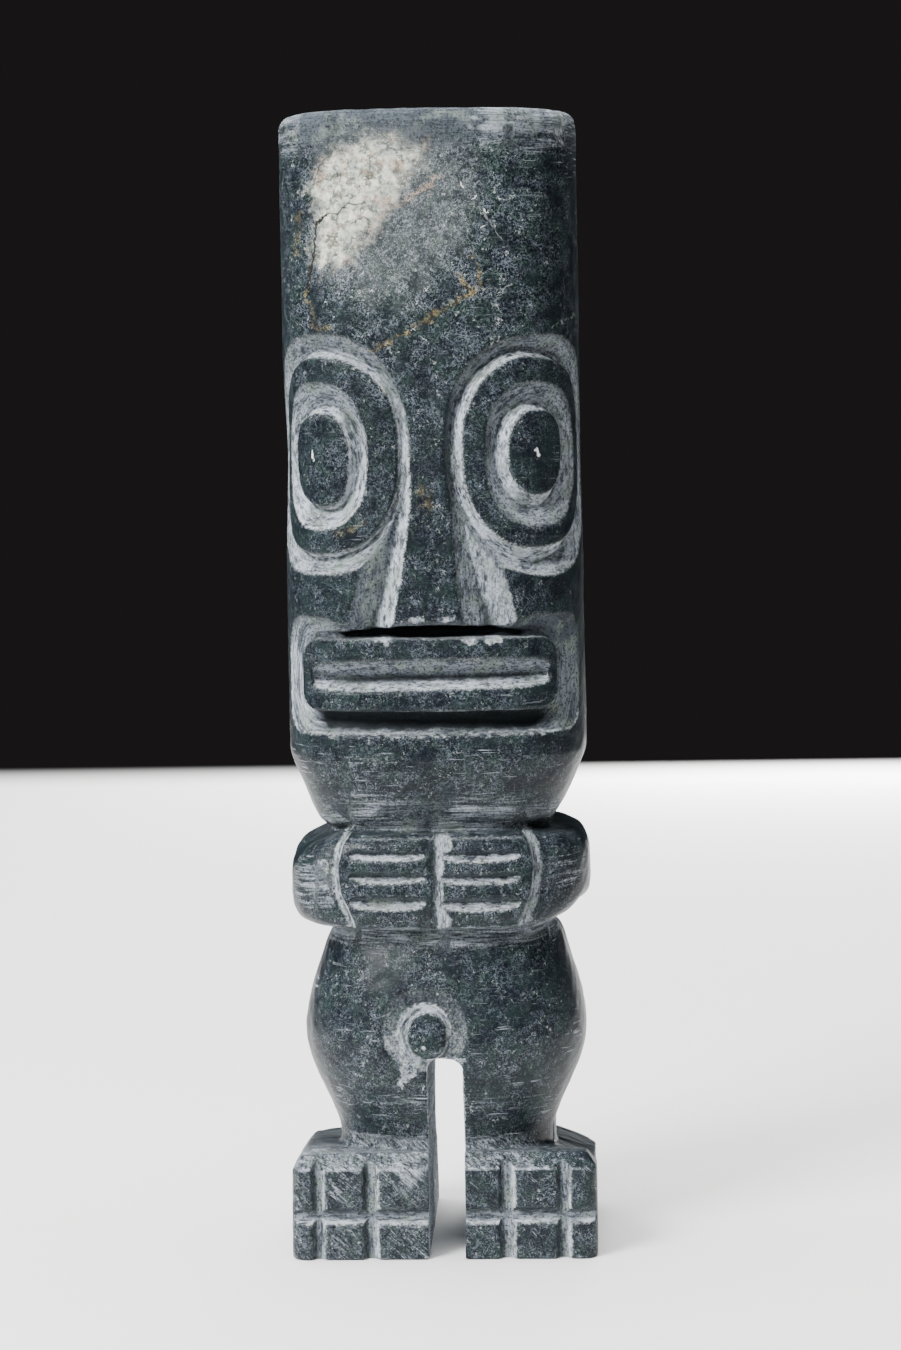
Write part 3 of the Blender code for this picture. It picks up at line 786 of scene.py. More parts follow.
@dataclass(frozen=True)
class Feet:
    """The block of both feet, and the slot between the legs."""

    half_width: float = 24.2
    half_depth: float = 20.02
    toe_edge: float = 14.4
    heel_edge: float = 11.0
    instep: float = 3.9
    shoulder: float = 1.7
    shoulder_rise: float = 2.3
    toe_corner: float = 2.4
    heel_corner: float = 8.0
    gap: float = 5.6
    gap_height: float = 31.5
    gap_corner: float = 1.8
    gap_middle: float = 0.4
    blend: float = 18.6
    deepest: float = 6.0
    channels: tuple[Channel, ...] = (
        Channel(-19.75, 2.3, seed=1),
        Channel(-11.4, 2.75, seed=2),
        Channel(10.1, 2.75, seed=3),
        Channel(19.0, 2.5, seed=4),
        Channel(6.8, 2.7, 1.25, level=True, seed=5),
    )

    def edge_level(self, y: Array) -> Array:
        """Return the level of the upper edge at a depth, which falls from toes to heels."""
        share = (y + self.half_depth) / (2.0 * self.half_depth)
        return self.toe_edge + (self.heel_edge - self.toe_edge) * share

    def top_beside(self, points: Array) -> Array:
        """Return how high the right foot reaches, which falls away to its outer edge behind the toes."""
        fall = 0.40 * (points[:, 0] - 17.5) - 3.0 * soft_step(-points[:, 1], 8.0, 16.0)
        return self.edge_level(points[:, 1]) + 2.2 - fall


def select_only(mesh: bpy.types.Mesh, kind: str, wanted: Array) -> None:
    """Select some of a mesh's elements and nothing else.

    Args:
        mesh: The mesh, in object mode.
        kind: Either "edges" or "polygons".
        wanted: True for each element to select.
    """
    for name in ("vertices", "edges", "polygons"):
        elements = getattr(mesh, name)
        elements.foreach_set("select", np.zeros(len(elements), bool))
    getattr(mesh, kind).foreach_set("select", wanted)
    bpy.context.tool_settings.mesh_select_mode = (False, kind == "edges", kind == "polygons")
    mesh.update()


def in_edit_mode(operator: Callable[..., object], **settings: object) -> None:
    """Run one operator in edit mode.

    Args:
        operator: The operator.
        **settings: Its values.
    """
    bpy.ops.object.mode_set(mode="EDIT")
    operator(**settings)
    bpy.ops.object.mode_set(mode="OBJECT")


def round_edges(mesh: bpy.types.Mesh, wanted: Array, reach: float) -> None:
    """Bevel some of a mesh's edges round."""
    select_only(mesh, "edges", wanted)
    in_edit_mode(bpy.ops.mesh.bevel, offset=reach, segments=8, affect="EDGES")


def read_rows(elements: object, name: str) -> Array:
    """Return three numbers of each element, one element a row."""
    flat = np.empty(len(elements) * 3)
    elements.foreach_get(name, flat)
    return flat.reshape(-1, 3)


def read_points(mesh: bpy.types.Mesh) -> Array:
    """Return a mesh's points, one a row."""
    return read_rows(mesh.vertices, "co")


def read_normals(mesh: bpy.types.Mesh) -> Array:
    """Return the way a mesh faces at its points, one a row."""
    return read_rows(mesh.vertex_normals, "vector")


def write_points(mesh: bpy.types.Mesh, points: Array) -> None:
    """Move a mesh's points."""
    mesh.vertices.foreach_set("co", points.astype(np.float32).ravel())
    mesh.update()


def edge_ends(mesh: bpy.types.Mesh) -> tuple[Array, Array]:
    """Return the points at both ends of each edge."""
    ends = np.empty(len(mesh.edges) * 2, int)
    mesh.edges.foreach_get("vertices", ends)
    points = read_points(mesh)[ends]
    return points[0::2], points[1::2]


def apply_modifier(thing: bpy.types.Object, kind: str, **settings: object) -> None:
    """Add a modifier to a mesh object and apply it.

    Args:
        thing: The object.
        kind: The modifier's type.
        **settings: Its values.
    """
    bpy.context.view_layer.objects.active = thing
    change = thing.modifiers.new(kind.title(), kind)
    for name, value in settings.items():
        setattr(change, name, value)
    bpy.ops.object.modifier_apply(modifier=change.name)


class Blank:
    """The uncut stone: trunk, feet, and the slot between the legs."""

    RING = 240
    CUTS = 99
    LEVEL_WITHIN = 1e-6
    UPRIGHT_WITHIN = 0.02
    BELOW_FLOOR = -5.0

    def __init__(self, skin: Skin, feet: Feet) -> None:
        """Keep the sizes.

        Args:
            skin: The trunk's skin.
            feet: The feet's sizes.
        """
        self.skin = skin
        self.feet = feet

    def build(self) -> bpy.types.Object:
        """Model the blank as one closed, evenly meshed body.

        Returns:
            bpy.types.Object: The blank.
        """
        trunk = self.make_trunk()
        for tool, operation in ((self.make_feet(), "UNION"), (self.make_gap(), "DIFFERENCE")):
            apply_modifier(trunk, "BOOLEAN", operation=operation, solver="EXACT", object=tool)
            bpy.data.objects.remove(tool, do_unlink=True)
        apply_modifier(trunk, "REMESH", mode="VOXEL", voxel_size=VOXEL)
        apply_modifier(trunk, "SMOOTH", factor=0.5, iterations=4)
        return trunk

    def make_trunk(self) -> bpy.types.Object:
        """Shape a cylinder to the trunk's sections.

        Returns:
            bpy.types.Object: The trunk.
        """
        bpy.ops.mesh.primitive_cylinder_add(vertices=self.RING, radius=1.0, depth=1.0)
        trunk = bpy.context.object
        for cuts in (self.CUTS, 1):
            low, high = edge_ends(trunk.data)
            select_only(trunk.data, "edges", np.abs(low[:, 2] - high[:, 2]) > self.LEVEL_WITHIN)
            in_edit_mode(bpy.ops.mesh.subdivide, number_cuts=cuts)
        points = read_points(trunk.data)
        profile = self.skin.profile
        steps = np.linalg.norm(np.diff(profile[:, :2], axis=0), axis=1)
        along = np.concatenate(([0.0], np.cumsum(steps)))
        station = (points[:, 2] + 0.5) * along[-1]
        level, half, square, shift = (np.interp(station, along, column) for column in profile.T)
        share = np.arctan2(points[:, 0], -points[:, 1]) / math.pi
        unit = self.skin.unit_point(share, square)
        write_points(trunk.data, rows(unit[:, 0] * half + shift, unit[:, 1] * half, level))
        return trunk

    def make_feet(self) -> bpy.types.Object:
        """Model the block of both feet: upright sides, a sloped shoulder, and a top that meets the ankles.

        Returns:
            bpy.types.Object: The block.
        """
        feet = self.feet
        bpy.ops.mesh.primitive_cube_add(size=2.0)
        block = bpy.context.object
        points = read_points(block.data)
        y = points[:, 1] * feet.half_depth
        z = np.where(points[:, 2] > 0.0, feet.edge_level(y), 0.0)
        write_points(block.data, rows(points[:, 0] * feet.half_width, y, z))
        for corner, front in ((feet.toe_corner, True), (feet.heel_corner, False)):
            low, high = edge_ends(block.data)
            upright = (np.abs(low - high)[:, :2] < self.UPRIGHT_WITHIN).all(axis=1)
            round_edges(block.data, upright & ((low[:, 1] < 0.0) == front), corner)
        trunk = self.skin.trunk
        wide = feet.half_width - feet.shoulder
        ankle_depth = trunk.ankle_half * trunk.depth_share
        deep = (feet.half_depth + ankle_depth) / 2.0
        self.raise_top(block.data, wide / feet.half_width, deep / feet.half_depth, feet.shoulder_rise, 0.0)
        self.raise_top(block.data, trunk.ankle_half / wide, ankle_depth / deep,
                       feet.instep - feet.shoulder_rise, trunk.hip_shift)
        return block

    @staticmethod
    def raise_top(mesh: bpy.types.Mesh, across: float, along: float, rise: float, shift: float) -> None:
        """Extrude the top of a block upwards and draw it in.

        Args:
            mesh: The block's mesh.
            across: Share that its width keeps.
            along: Share that its depth keeps.
            rise: How far it goes up.
            shift: How far it goes sideways.
        """
        ups = np.array([face.normal[2] for face in mesh.polygons])
        heights = np.array([face.center[2] for face in mesh.polygons])
        select_only(mesh, "polygons", (ups > 0.9) & (heights >= heights.max() - 1e-6))
        in_edit_mode(bpy.ops.mesh.extrude_region_move, TRANSFORM_OT_translate={"value": (0.0, 0.0, rise)})
        raised = np.array([vertex.select for vertex in mesh.vertices])
        points = read_points(mesh)
        points[raised, 0] = points[raised, 0] * across + shift
        points[raised, 1] *= along
        write_points(mesh, points)

    def make_gap(self) -> bpy.types.Object:
        """Model the cutter of the slot between the legs.

        Returns:
            bpy.types.Object: The cutter.
        """
        feet = self.feet
        bpy.ops.mesh.primitive_cube_add(size=2.0)
        tool = bpy.context.object
        points = read_points(tool.data)
        points[:, 0] = points[:, 0] * feet.gap / 2.0 + feet.gap_middle
        points[:, 1] *= feet.half_depth * 1.5
        points[:, 2] = np.where(points[:, 2] > 0.0, feet.gap_height, self.BELOW_FLOOR)
        write_points(tool.data, points)
        low, high = edge_ends(tool.data)
        along = np.abs(low[:, 0] - high[:, 0]) < self.UPRIGHT_WITHIN
        round_edges(tool.data, along & (np.minimum(low[:, 2], high[:, 2]) > 0.0), feet.gap_corner)
        return tool


def eye_cuts() -> list[SkinCut]:
    """List the two ring grooves of each eye."""
    left, right, level = -17.4, 17.4, 126.5
    return [
        RingGroove(Oval(left, level - 0.2, 5.8, 4.5, 6.9, 7.3, seed=1),
                   Oval(left, level, 9.0, 7.9, 12.0, 11.6, seed=2), 1.9,
                   (1.9, 1.9, 1.3, 0.8, 0.5, 0.6, 0.8, 1.3), (0.85, 0.5, 0.42, 0.5, 0.8, 0.95, 0.95, 0.9)),
        RingGroove(Oval(left, level, 11.5, 12.4, 15.3, 15.0, seed=3),
                   Oval(left, level, 17.0, 14.6, 19.1, 18.6, seed=4), 2.0,
                   (0.5, 1.7, 1.3, 1.0, 0.6, 0.8, 1.1, 0.5), (1.0, 0.45, 0.42, 0.45, 0.55, 0.6, 0.7, 0.8),
                   (0.55, 0.8, 1.0, 1.0, 1.0, 1.0, 1.0, 0.7)),
        RingGroove(Oval(right, level + 0.3, 4.8, 4.6, 6.4, 6.3, seed=5),
                   Oval(right, level, 9.0, 8.8, 11.5, 11.5, seed=6), 1.9,
                   (0.5, 0.6, 1.0, 2.1, 2.3, 2.2, 2.2, 1.2), (0.6, 0.45, 0.44, 0.42, 0.38, 0.5, 0.5, 0.6)),
        RingGroove(Oval(right, level, 12.0, 10.9, 14.9, 14.1, seed=7),
                   Oval(right, level, 14.9, 17.0, 19.0, 18.9, seed=8), 2.0,
                   (0.5, 0.6, 0.9, 2.0, 2.3, 2.0, 2.6, 1.2), (0.45, 0.42, 0.44, 0.40, 0.30, 0.5, 0.75, 0.6)),
    ]


def nose_cuts() -> list[SkinCut]:
    """List the creases that leave the nose standing."""
    return [
        Valley((99.0, 100.4, 104.3, 107.4, 112.8, 119.8, 124.0), (-5.9, -5.8, -5.2, -4.5, -3.7, -2.8, -2.7),
               (-9.4, -9.1, -8.1, -7.1, -5.7, -4.4, -3.6), (-13.8, -13.4, -12.7, -11.8, -9.6, -5.2, -4.2),
               (2.5, 2.5, 2.3, 2.1, 1.8, 1.3, 0.8), wall_light=1.0, slope_light=0.16, seed=11),
        Valley((99.0, 100.7, 104.2, 110.4, 114.5, 119.7, 124.0), (4.8, 4.7, 4.1, 3.4, 3.2, 3.1, 3.0),
               (9.4, 9.2, 7.8, 6.3, 5.3, 4.3, 3.6), (14.0, 13.6, 12.8, 11.0, 7.0, 5.3, 4.3),
               (2.5, 2.5, 2.3, 2.0, 1.7, 1.3, 0.8), wall_light=0.40, slope_light=0.62, seed=12),
    ]


def mouth_cuts() -> list[SkinCut]:
    """List the recess, the slot, painted black as shade, and the slit of the mouth."""
    return [
        MouthRecess(Panel(-0.9, 92.5, 21.4, 5.6, 3.2), Panel(0.0, 92.35, 27.6, 9.4, 5.5)),
        NoseSlot(),
        Slit(-0.6, 92.4, 19.6, 2.7, 2.6, 2.9, deepest=-0.75, tilt=0.25, bow=0.15, square=5.0,
             upper_step=0.12, seed=20),
    ]


def hand_cuts() -> list[SkinCut]:
    """List the fingers, the gap between the palms and the wrists."""
    cuts = []
    for index, (level, up, down) in enumerate(((64.3, 0.9, 1.1), (60.75, 0.9, 1.1), (56.8, 1.1, 1.4))):
        for middle, half, drop, bow, seed in ((-8.0, 6.1, 0.0, -0.1, 30), (6.6, 6.5, 0.1, -0.25, 40)):
            cuts.append(Slit(middle, level - drop, half, up, down, 1.6, deepest=0.1, square=3.2, bow=bow,
                             upper_step=0.2, upper_light=0.05, lower_light=1.0, seed=seed + index))
    cuts += [
        Valley((52.4, 54.4, 58.0, 61.9, 65.5, 68.6), (-13.0, -13.6, -15.3, -15.8, -15.1, -13.0),
               (-13.8, -14.4, -16.1, -16.6, -15.9, -13.8), (-20.5, -22.0, -24.0, -24.6, -23.6, -21.0),
               (0.5, 1.1, 1.25, 1.25, 1.15, 0.5), band=1.9, wall_light=0.85, slope_light=0.7,
               seed=50),
        Valley((52.4, 54.4, 58.0, 61.7, 65.5, 68.6), (12.4, 13.1, 14.6, 15.0, 14.5, 12.6),
               (13.3, 14.0, 15.5, 15.9, 15.4, 13.5), (20.0, 21.5, 23.0, 23.4, 22.8, 20.5),
               (0.5, 1.0, 1.2, 1.2, 1.1, 0.5), band=2.3, wall_light=0.6, slope_light=0.55,
               seed=51),
        Valley((52.4, 54.0, 55.6, 60.0, 63.6, 65.4, 67.4), (-1.1, -1.1, -1.0, -0.9, -1.0, -1.0, -1.0),
               (-0.5, -0.4, -0.4, -0.3, -0.3, -0.2, -0.2), (1.9, 2.4, 1.2, 1.1, 1.3, 2.7, 2.3),
               (0.5, 0.9, 0.8, 0.8, 0.8, 0.9, 0.5), floor_half=0.2, wall_light=0.4, slope_light=0.7, seed=52),
        Slit(-0.2, 66.75, 13.8, 0.35, 0.35, 0.5, square=6.0, seed=53),
    ]
    return cuts


def knob_cuts() -> list[SkinCut]:
    """List the groove round the knob and the shallow dish about it."""
    knob = Oval(-2.55, 35.3, 2.9, 2.9, 3.5, 3.6, square=2.1, seed=61)
    return [
        RingGroove(knob, Oval(-2.75, 35.5, 5.0, 4.5, 5.2, 5.0, square=2.1, seed=62), 1.5,
                   (0.5, 0.6, 0.7, 0.8, 0.8, 0.7, 0.6, 0.5), (0.5, 0.8, 1.0, 1.0, 0.95, 0.9, 0.3, 0.2)),
        RingGroove(knob, Oval(-2.9, 35.9, 7.1, 6.8, 7.2, 6.4, square=2.1, seed=63), 0.95,
                   (0.5, 0.5), (0.55, 0.3, 0.1, 0.2, 0.6, 0.75, 0.4, 0.5), ease=0.3, bare=0.28),
        Scoop(-5.4, 30.0, 1.5, 0.5, stretch=1.9, turn=1.1),
    ]


def figure_cuts() -> list[SkinCut]:
    """List every cut of the figure's skin, as the hand left them."""
    return eye_cuts() + nose_cuts() + mouth_cuts() + hand_cuts() + knob_cuts() + figure_chips()


def figure_chips() -> list[SkinCut]:
    """List the chips, pits and worn corners of the skin."""
    chips = [
        Scoop(-7.6, 98.3, 1.0, 0.55, stretch=1.6),
        Scoop(6.0, 98.2, 0.9, 0.5, stretch=1.5),
        Scoop(9.4, 98.1, 1.0, 0.55, stretch=1.7),
        Scoop(-2.5, 101.0, 0.8, 0.4, stretch=2.2),
        Scoop(2.2, 101.0, 0.8, 0.4, stretch=1.8),
        Scoop(-18.8, 63.2, 1.0, 0.5, stretch=1.5, turn=-0.6),
        Scoop(23.3, 175.6, 0.9, 0.45, stretch=1.7, turn=-1.0),
        Scoop(24.5, 178.2, 1.0, 0.4),
        Scoop(-29.0, 66.8, 4.5, 1.3, stretch=1.6, ragged=0.05, shows=False),
        Scoop(-21.5, 67.6, 3.5, 0.6, stretch=1.6, ragged=0.05, shows=False),
        Scoop(29.0, 52.4, 4.2, 1.3, stretch=1.8, ragged=0.05, shows=False),
        Scoop(-28.5, 126.0, 12.0, 0.6, stretch=1.7, turn=1.57, ragged=0.05, shows=False),
    ]
    random = np.random.default_rng(5)
    for around in np.arange(-17.0, 20.0, 1.7):
        reach = random.uniform(0.22, 0.48)
        chips.append(Scoop(around + random.uniform(-0.7, 0.7), 82.9 + random.uniform(-0.1, 0.2), reach,
                           reach * 0.5, stretch=random.uniform(1.0, 2.2)))
    return chips


@dataclass(frozen=True)
class Wear:
    """How far the surface wanders and how its skin is scuffed, by region.

    Attributes:
        swell: How far the broad swells go.
        swell_pitch: How wide they are.
        ripple: How far the small ripples go.
        ripple_pitch: How wide they are.
        gouge: How deep the tool's marks are in the cuts.
        bands: Scuffed bands round the figure: middle level, half height and strength.
        least: How far all of the skin is scuffed.
        drift: How far that goes up and down.
        palms: How far the upper edge of the hands is scuffed.
        left_arm: How far the arm towards -X is scuffed.
        right_arm: How far the other arm is.
        crown: How far the crown's edge is scuffed to chalk, partly as a painted highlight from above.
        crown_front: How much more it is in front.
        foot_top: How far the tops of the feet are scuffed.
        right_top_less: How much less the right one is.
        outer_top_less: How much less its outer half is.
        toe: How far the toes are scuffed.
        right_toe_less: How much less those on the right are.
        toe_rim: How much more the toes' upper edge is scuffed, partly as a painted highlight along that edge.
        slot: How far the slot between the legs is covered with pale chalk, which there partly stands for
            painted light.
    """

    swell: float = 0.16
    swell_pitch: float = 16.0
    ripple: float = 0.035
    ripple_pitch: float = 3.2
    gouge: float = 0.05
    bands: tuple[tuple[float, float, float], ...] = (
        (70.5, 5.0, 0.36), (50.8, 3.8, 0.44), (36.0, 17.0, 0.05), (24.5, 4.5, 0.16), (78.0, 6.0, 0.08))
    least: float = 0.02
    drift: float = 0.05
    palms: float = 0.40
    left_arm: float = 0.36
    right_arm: float = 0.20
    crown: float = 0.28
    crown_front: float = 0.22
    foot_top: float = 0.37
    right_top_less: float = 0.06
    outer_top_less: float = 0.16
    toe: float = 0.23
    right_toe_less: float = 0.17
    toe_rim: float = 0.3
    slot: float = 0.9

    def scuff(self, places: Places) -> Array:
        """Say how far the polished skin is scuffed to chalk.

        Args:
            places: Places on the skin.

        Returns:
            Array: 0 where it is polished, 1 where it is all chalk.
        """
        around, level = places.around, places.level
        amount = self.least + self.drift * wander(places.points, 14.0, 71)
        for middle, reach, share in self.bands:
            amount += share * soft_bump(level, middle, reach)
        amount += self.palms * soft_bump(level, 68.0, 1.0) * soft_bump(around, 0.0, 15.0)
        left = soft_step(-around, 14.0, 18.0) * soft_step(around, -32.0, -25.0)
        right = soft_step(around, 15.0, 17.0) * soft_step(-around, -31.0, -24.0)
        amount += (self.left_arm * left + self.right_arm * right) * soft_bump(level, 60.0, 9.5)
        front = soft_step(-places.points[:, 1], -6.0, 6.0)
        # The crown's edge is paler towards the top and more in front: scratches, and partly a painted
        # highlight from above.
        return amount + (self.crown + self.crown_front * front) * soft_step(level, 169.0, 179.0)

    def foot_scuff(self, points: Array, feet: Feet, scuff: Array) -> Array:
        """Scuff the toes, their upper edge and the tops of the feet; the upper edge also gets a painted
        highlight.

        Args:
            points: Points in millimetres.
            feet: The feet's sizes.
            scuff: How far the points are scuffed so far.

        Returns:
            Array: How far they are scuffed with the feet.
        """
        across, back, level = points.T
        on_right = across > 0.0
        ahead = 0.4 + 0.6 * soft_step(-back, 0.0, 14.0)
        less = self.right_top_less * on_right + self.outer_top_less * soft_step(across, 12.0, 19.0)
        top = (self.foot_top - less) * ahead
        top = top * soft_step(level, feet.toe_edge - 0.3, feet.toe_edge)
        on_top = (level < feet.blend) & (level > feet.heel_edge)
        scuff = np.where(on_top, np.maximum(scuff, top), scuff)
        toe = ahead * (self.toe - self.right_toe_less * on_right)
        scuff = np.where(level < feet.toe_edge, np.maximum(scuff, toe), scuff)
        # A pale line along the toes' upper front edge: scuff, and partly a painted highlight.
        return scuff + self.toe_rim * soft_bump(level, feet.toe_edge, 0.35) * (back < 0.6 - feet.half_depth)


class StoneFigure:
    """The whole figure, carved from one stone."""

    TRIANGLES = 192000
    ARM_LEAN = 0.85
    ARM_TAPER = 0.14
    ARM_LEVEL = 59.6
    FEET_BELOW = 18.0
    TOES_BELOW = 17.0
    FACES_UP = 0.75
    FADE_BEHIND = 10.0
    SKIN_FADE = (-1.0, -0.45)
    FEET_FADE = (17.5, 19.5)
    TOE_REACH = 3.0
    TOP_BELOW = 19.0

    def __init__(self, finish: "StoneFinish") -> None:
        """Gather the sizes and the cuts.

        Args:
            finish: The stone's finish.
        """
        self.finish = finish
        self.trunk = Trunk()
        self.feet = Feet()
        self.skin = Skin(self.trunk)
        self.carving = Carving(figure_cuts())
        self.wear = Wear()

    def build(self) -> bpy.types.Object:
        """Carve the figure, dress it and put it in the solid's place.

        Returns:
            bpy.types.Object: The figure.
        """
        figure = Blank(self.skin, self.feet).build()
        figure.name = figure.data.name = "carved_figure"
        LOG.info("blank: %d faces", len(figure.data.polygons))
        self.carve(figure)
        apply_modifier(figure, "REMESH", mode="VOXEL", voxel_size=VOXEL)
        apply_modifier(figure, "SMOOTH", factor=0.5, iterations=2)
        self.roughen(figure)
        kept = min(self.TRIANGLES / (2 * len(figure.data.polygons)), 1.0)
        apply_modifier(figure, "DECIMATE", ratio=kept, use_collapse_triangulate=True)
        self.mark(figure)
        self.bring_to_metres(figure)
        bpy.ops.object.shade_smooth()
        figure.data.materials.clear()
        figure.data.materials.append(self.finish.material())
        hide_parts("stone_figure")
        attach(figure, "root")
        LOG.info("carved figure: %d triangles", len(figure.data.polygons))
        return figure

    def carve(self, figure: bpy.types.Object) -> None:
        """Push the blank's skin in by the depth of the cuts.

        Args:
            figure: The blank.
        """
        points = read_points(figure.data)
        places = self.skin.places(points)
        on_skin = soft_step(places.height, *self.SKIN_FADE) * soft_step(places.level, *self.FEET_FADE)
        depth = self.carving.over(places).depth * on_skin
        points[:, :2] -= places.outward * depth[:, None]
        front = -self.feet.half_depth
        floor = np.full(len(points), front)
        for channel in self.feet.channels:
            floor = np.maximum(floor, front + channel.cut(points).depth)
        at_toes = (points[:, 1] < front + self.TOE_REACH) & (points[:, 2] < self.TOES_BELOW)
        at_toes &= floor > front + 0.01
        points[at_toes, 1] = np.maximum(points[at_toes, 1], floor[at_toes])
        beside = (points[:, 0] > self.trunk.ankle_half) & (points[:, 2] < self.TOP_BELOW)
        points[beside, 2] = np.minimum(points[beside, 2], self.feet.top_beside(points[beside]))
        write_points(figure.data, points)

    def roughen(self, figure: bpy.types.Object) -> None:
        """Give the surface the swells and gouges of hand work.

        Args:
            figure: The carved figure.
        """
        mesh = figure.data
        points = read_points(mesh)
        normals = read_normals(mesh)
        places = self.skin.places(points)
        cut = self.cuts_at(points, places)
        inside = soft_step(cut.inside, 0.0, 0.6)
        move = self.wear.swell * (wander(points, self.wear.swell_pitch, 81) - 0.7) / 2.0
        move += self.wear.ripple * wander(points, self.wear.ripple_pitch, 82)
        move -= self.wear.gouge * inside * (1.0 + wander(cut.grain, 0.9, 83)) / 2.0
        low, high = points.min(axis=0), points.max(axis=0)
        standing = soft_step(points[:, 2], 0.0, 1.0)
        points += normals * (move * standing)[:, None]
        write_points(mesh, np.clip(points, low, high))

    def cuts_at(self, points: Array, places: Places) -> Cut:
        """Join the cuts of the skin and those of the feet.

        Args:
            points: Points in millimetres.
            places: The same points on the skin.

        Returns:
            Cut: What all cuts say together.
        """
        whole = self.carving.over(places)
        off_skin = (places.level < self.FEET_BELOW) | (places.height < -self.feet.deepest)
        whole.inside[off_skin] = -FAR
        behind = points[:, 1] + self.feet.half_depth
        for channel in self.feet.channels:
            one = channel.cut(points)
            ahead = (points[:, 2] < self.TOES_BELOW) & (behind < one.depth + 0.35)
            ahead &= one.inside > whole.inside
            whole.take(one, ahead)
            whole.depth[ahead] = one.depth[ahead]
        return whole

    def mark(self, figure: bpy.types.Object) -> None:
        """Store on the mesh what its finish reads.

        Args:
            figure: The carved figure.
        """
        mesh = figure.data
        points = read_points(mesh)
        places = self.skin.places(points)
        cut = self.cuts_at(points, places)
        in_slot = self.in_slot(points)
        # The slot between the legs gets the palest chalk all over: painted light, as if lit from behind
        # through the slot.
        cut.light[in_slot] = 1.0
        scuff = np.where(in_slot, self.wear.slot, self.wear.scuff(places))
        behind = np.maximum(points[:, 1], 0.0) * self.FADE_BEHIND
        on_skin = cut.inside < -0.3
        # Stored for the finish: light carries painted light and shade on the chalk, floor and depth drive
        # painted shade along deepest lines and in deep cuts, and the forehead haze's outline drives a partly
        # painted sheen.
        values = {
            "carved": cut.inside,
            "floor": cut.floor,
            "scuff": self.wear.foot_scuff(points, self.feet, scuff),
            "light": cut.light,
            "depth": np.where(in_slot, 0.0, np.clip(-places.height, 0.0, self.feet.deepest)),
            "milky": polygon_inside(places.flat, MILKY_OUTLINE) - behind,
            "inside_veil_and_sheen": polygon_inside(places.flat, VEIL_AND_SHEEN_OUTLINE) - behind,
            "grain": np.where(on_skin[:, None], self.skin_grain(points, read_normals(mesh)), cut.grain),
            "skin_place": rows(places.around, places.level, behind),
        }
        for name, column in values.items():
            kind, field = ("FLOAT", "value") if column.ndim == 1 else ("FLOAT_VECTOR", "vector")
            attribute = mesh.attributes.new(name, kind, "POINT")
            attribute.data.foreach_set(field, column.astype(np.float32).ravel())

    def in_slot(self, points: Array) -> Array:
        """Tell which points are in the slot between the legs."""
        feet = self.feet
        across = np.abs(points[:, 0] - feet.gap_middle) < feet.gap / 2.0 + 0.15
        below = points[:, 2] < feet.gap_height + 0.3
        return across & below & (np.abs(points[:, 1]) < feet.half_depth - 0.6)

    def skin_grain(self, points: Array, normals: Array) -> Array:
        """Say how the scratches run: level on the sides, across the tops, slanted on the feet.

        Args:
            points: Points in millimetres.
            normals: The way the skin faces there.

        Returns:
            Array: Places where the scratches' noise is read.
        """
        across, back, level = points.T
        on_sides = points * np.array((0.07, 0.07, 1.0)) + 5.0
        on_tops = points * np.array((0.12, 1.0, 1.0))
        on_feet = rows(across * 0.08 + back, across * 0.9 + level, across * 0.1 - level * 0.1)
        grain = np.where((normals[:, 2] > self.FACES_UP)[:, None], on_tops, on_sides)
        return np.where((level < self.FEET_BELOW)[:, None], on_feet, grain)

    def bring_to_metres(self, figure: bpy.types.Object) -> None:
        """Let the arms lean a little, scale the mesh to metres and set it on the floor.

        Args:
            figure: The carved figure.
        """
        low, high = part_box("stone_figure")
        scale = (high.z - low.z) / self.trunk.crown
        points = read_points(figure.data)
        across, level = points[:, 0], points[:, 2]
        band = soft_step(level, 44.0, 51.0) * soft_step(-level, -76.0, -68.0)
        lean = soft_step(across, 14.0, 22.0) - soft_step(-across, 14.0, 22.0)
        tilt = self.ARM_LEAN * lean - self.ARM_TAPER * np.abs(lean) * (level - self.ARM_LEVEL)
        points[:, 2] += band * tilt
        points[:, 2] -= points[:, 2].min()
        points[:, 2] *= self.trunk.crown / points[:, 2].max()
        write_points(figure.data, points * scale)


MILKY_OUTLINE = (
    (-14.9, 173.1), (-16.2, 171.3), (-18.1, 168.1), (-18.7, 167.2), (-16.9, 163.4), (-17.5, 161.1),
    (-18.1, 157.2), (-17.1, 155.6), (-12.6, 155.8), (-9.7, 159.1), (-7.8, 161.5), (-5.3, 164.6),
    (-2.9, 166.7), (-0.2, 171.4), (0.4, 174.6), (-4.6, 176.4), (-10.0, 175.8))

# Outline of the forehead's pale haze: a mineral haze, and partly a painted sheen.
VEIL_AND_SHEEN_OUTLINE = (
    (-15.5, 176.5), (-17.6, 168.0), (-17.8, 158.0), (-15.0, 153.5), (-9.5, 151.0), (-3.0, 150.5),
    (3.0, 155.0), (7.0, 161.0), (8.0, 168.0), (5.0, 175.0), (-2.0, 178.5), (-10.0, 178.8))


class VeinKind(Enum):
    """What fills a line in the stone."""

    CRACK = "crack"
    OCHRE = "ochre"
    ROSE = "rose"
    PALE = "pale"
    GLINT = "glint"


@dataclass(frozen=True)
class Vein:
    """A line in the stone's skin.

    Attributes:
        kind: What fills it.
        path: Places along it.
        width: Its width in millimetres.
        strength: How fully it colours the stone.
    """

    kind: VeinKind
    path: tuple[Place, ...]
    width: float
    strength: float = 1.0


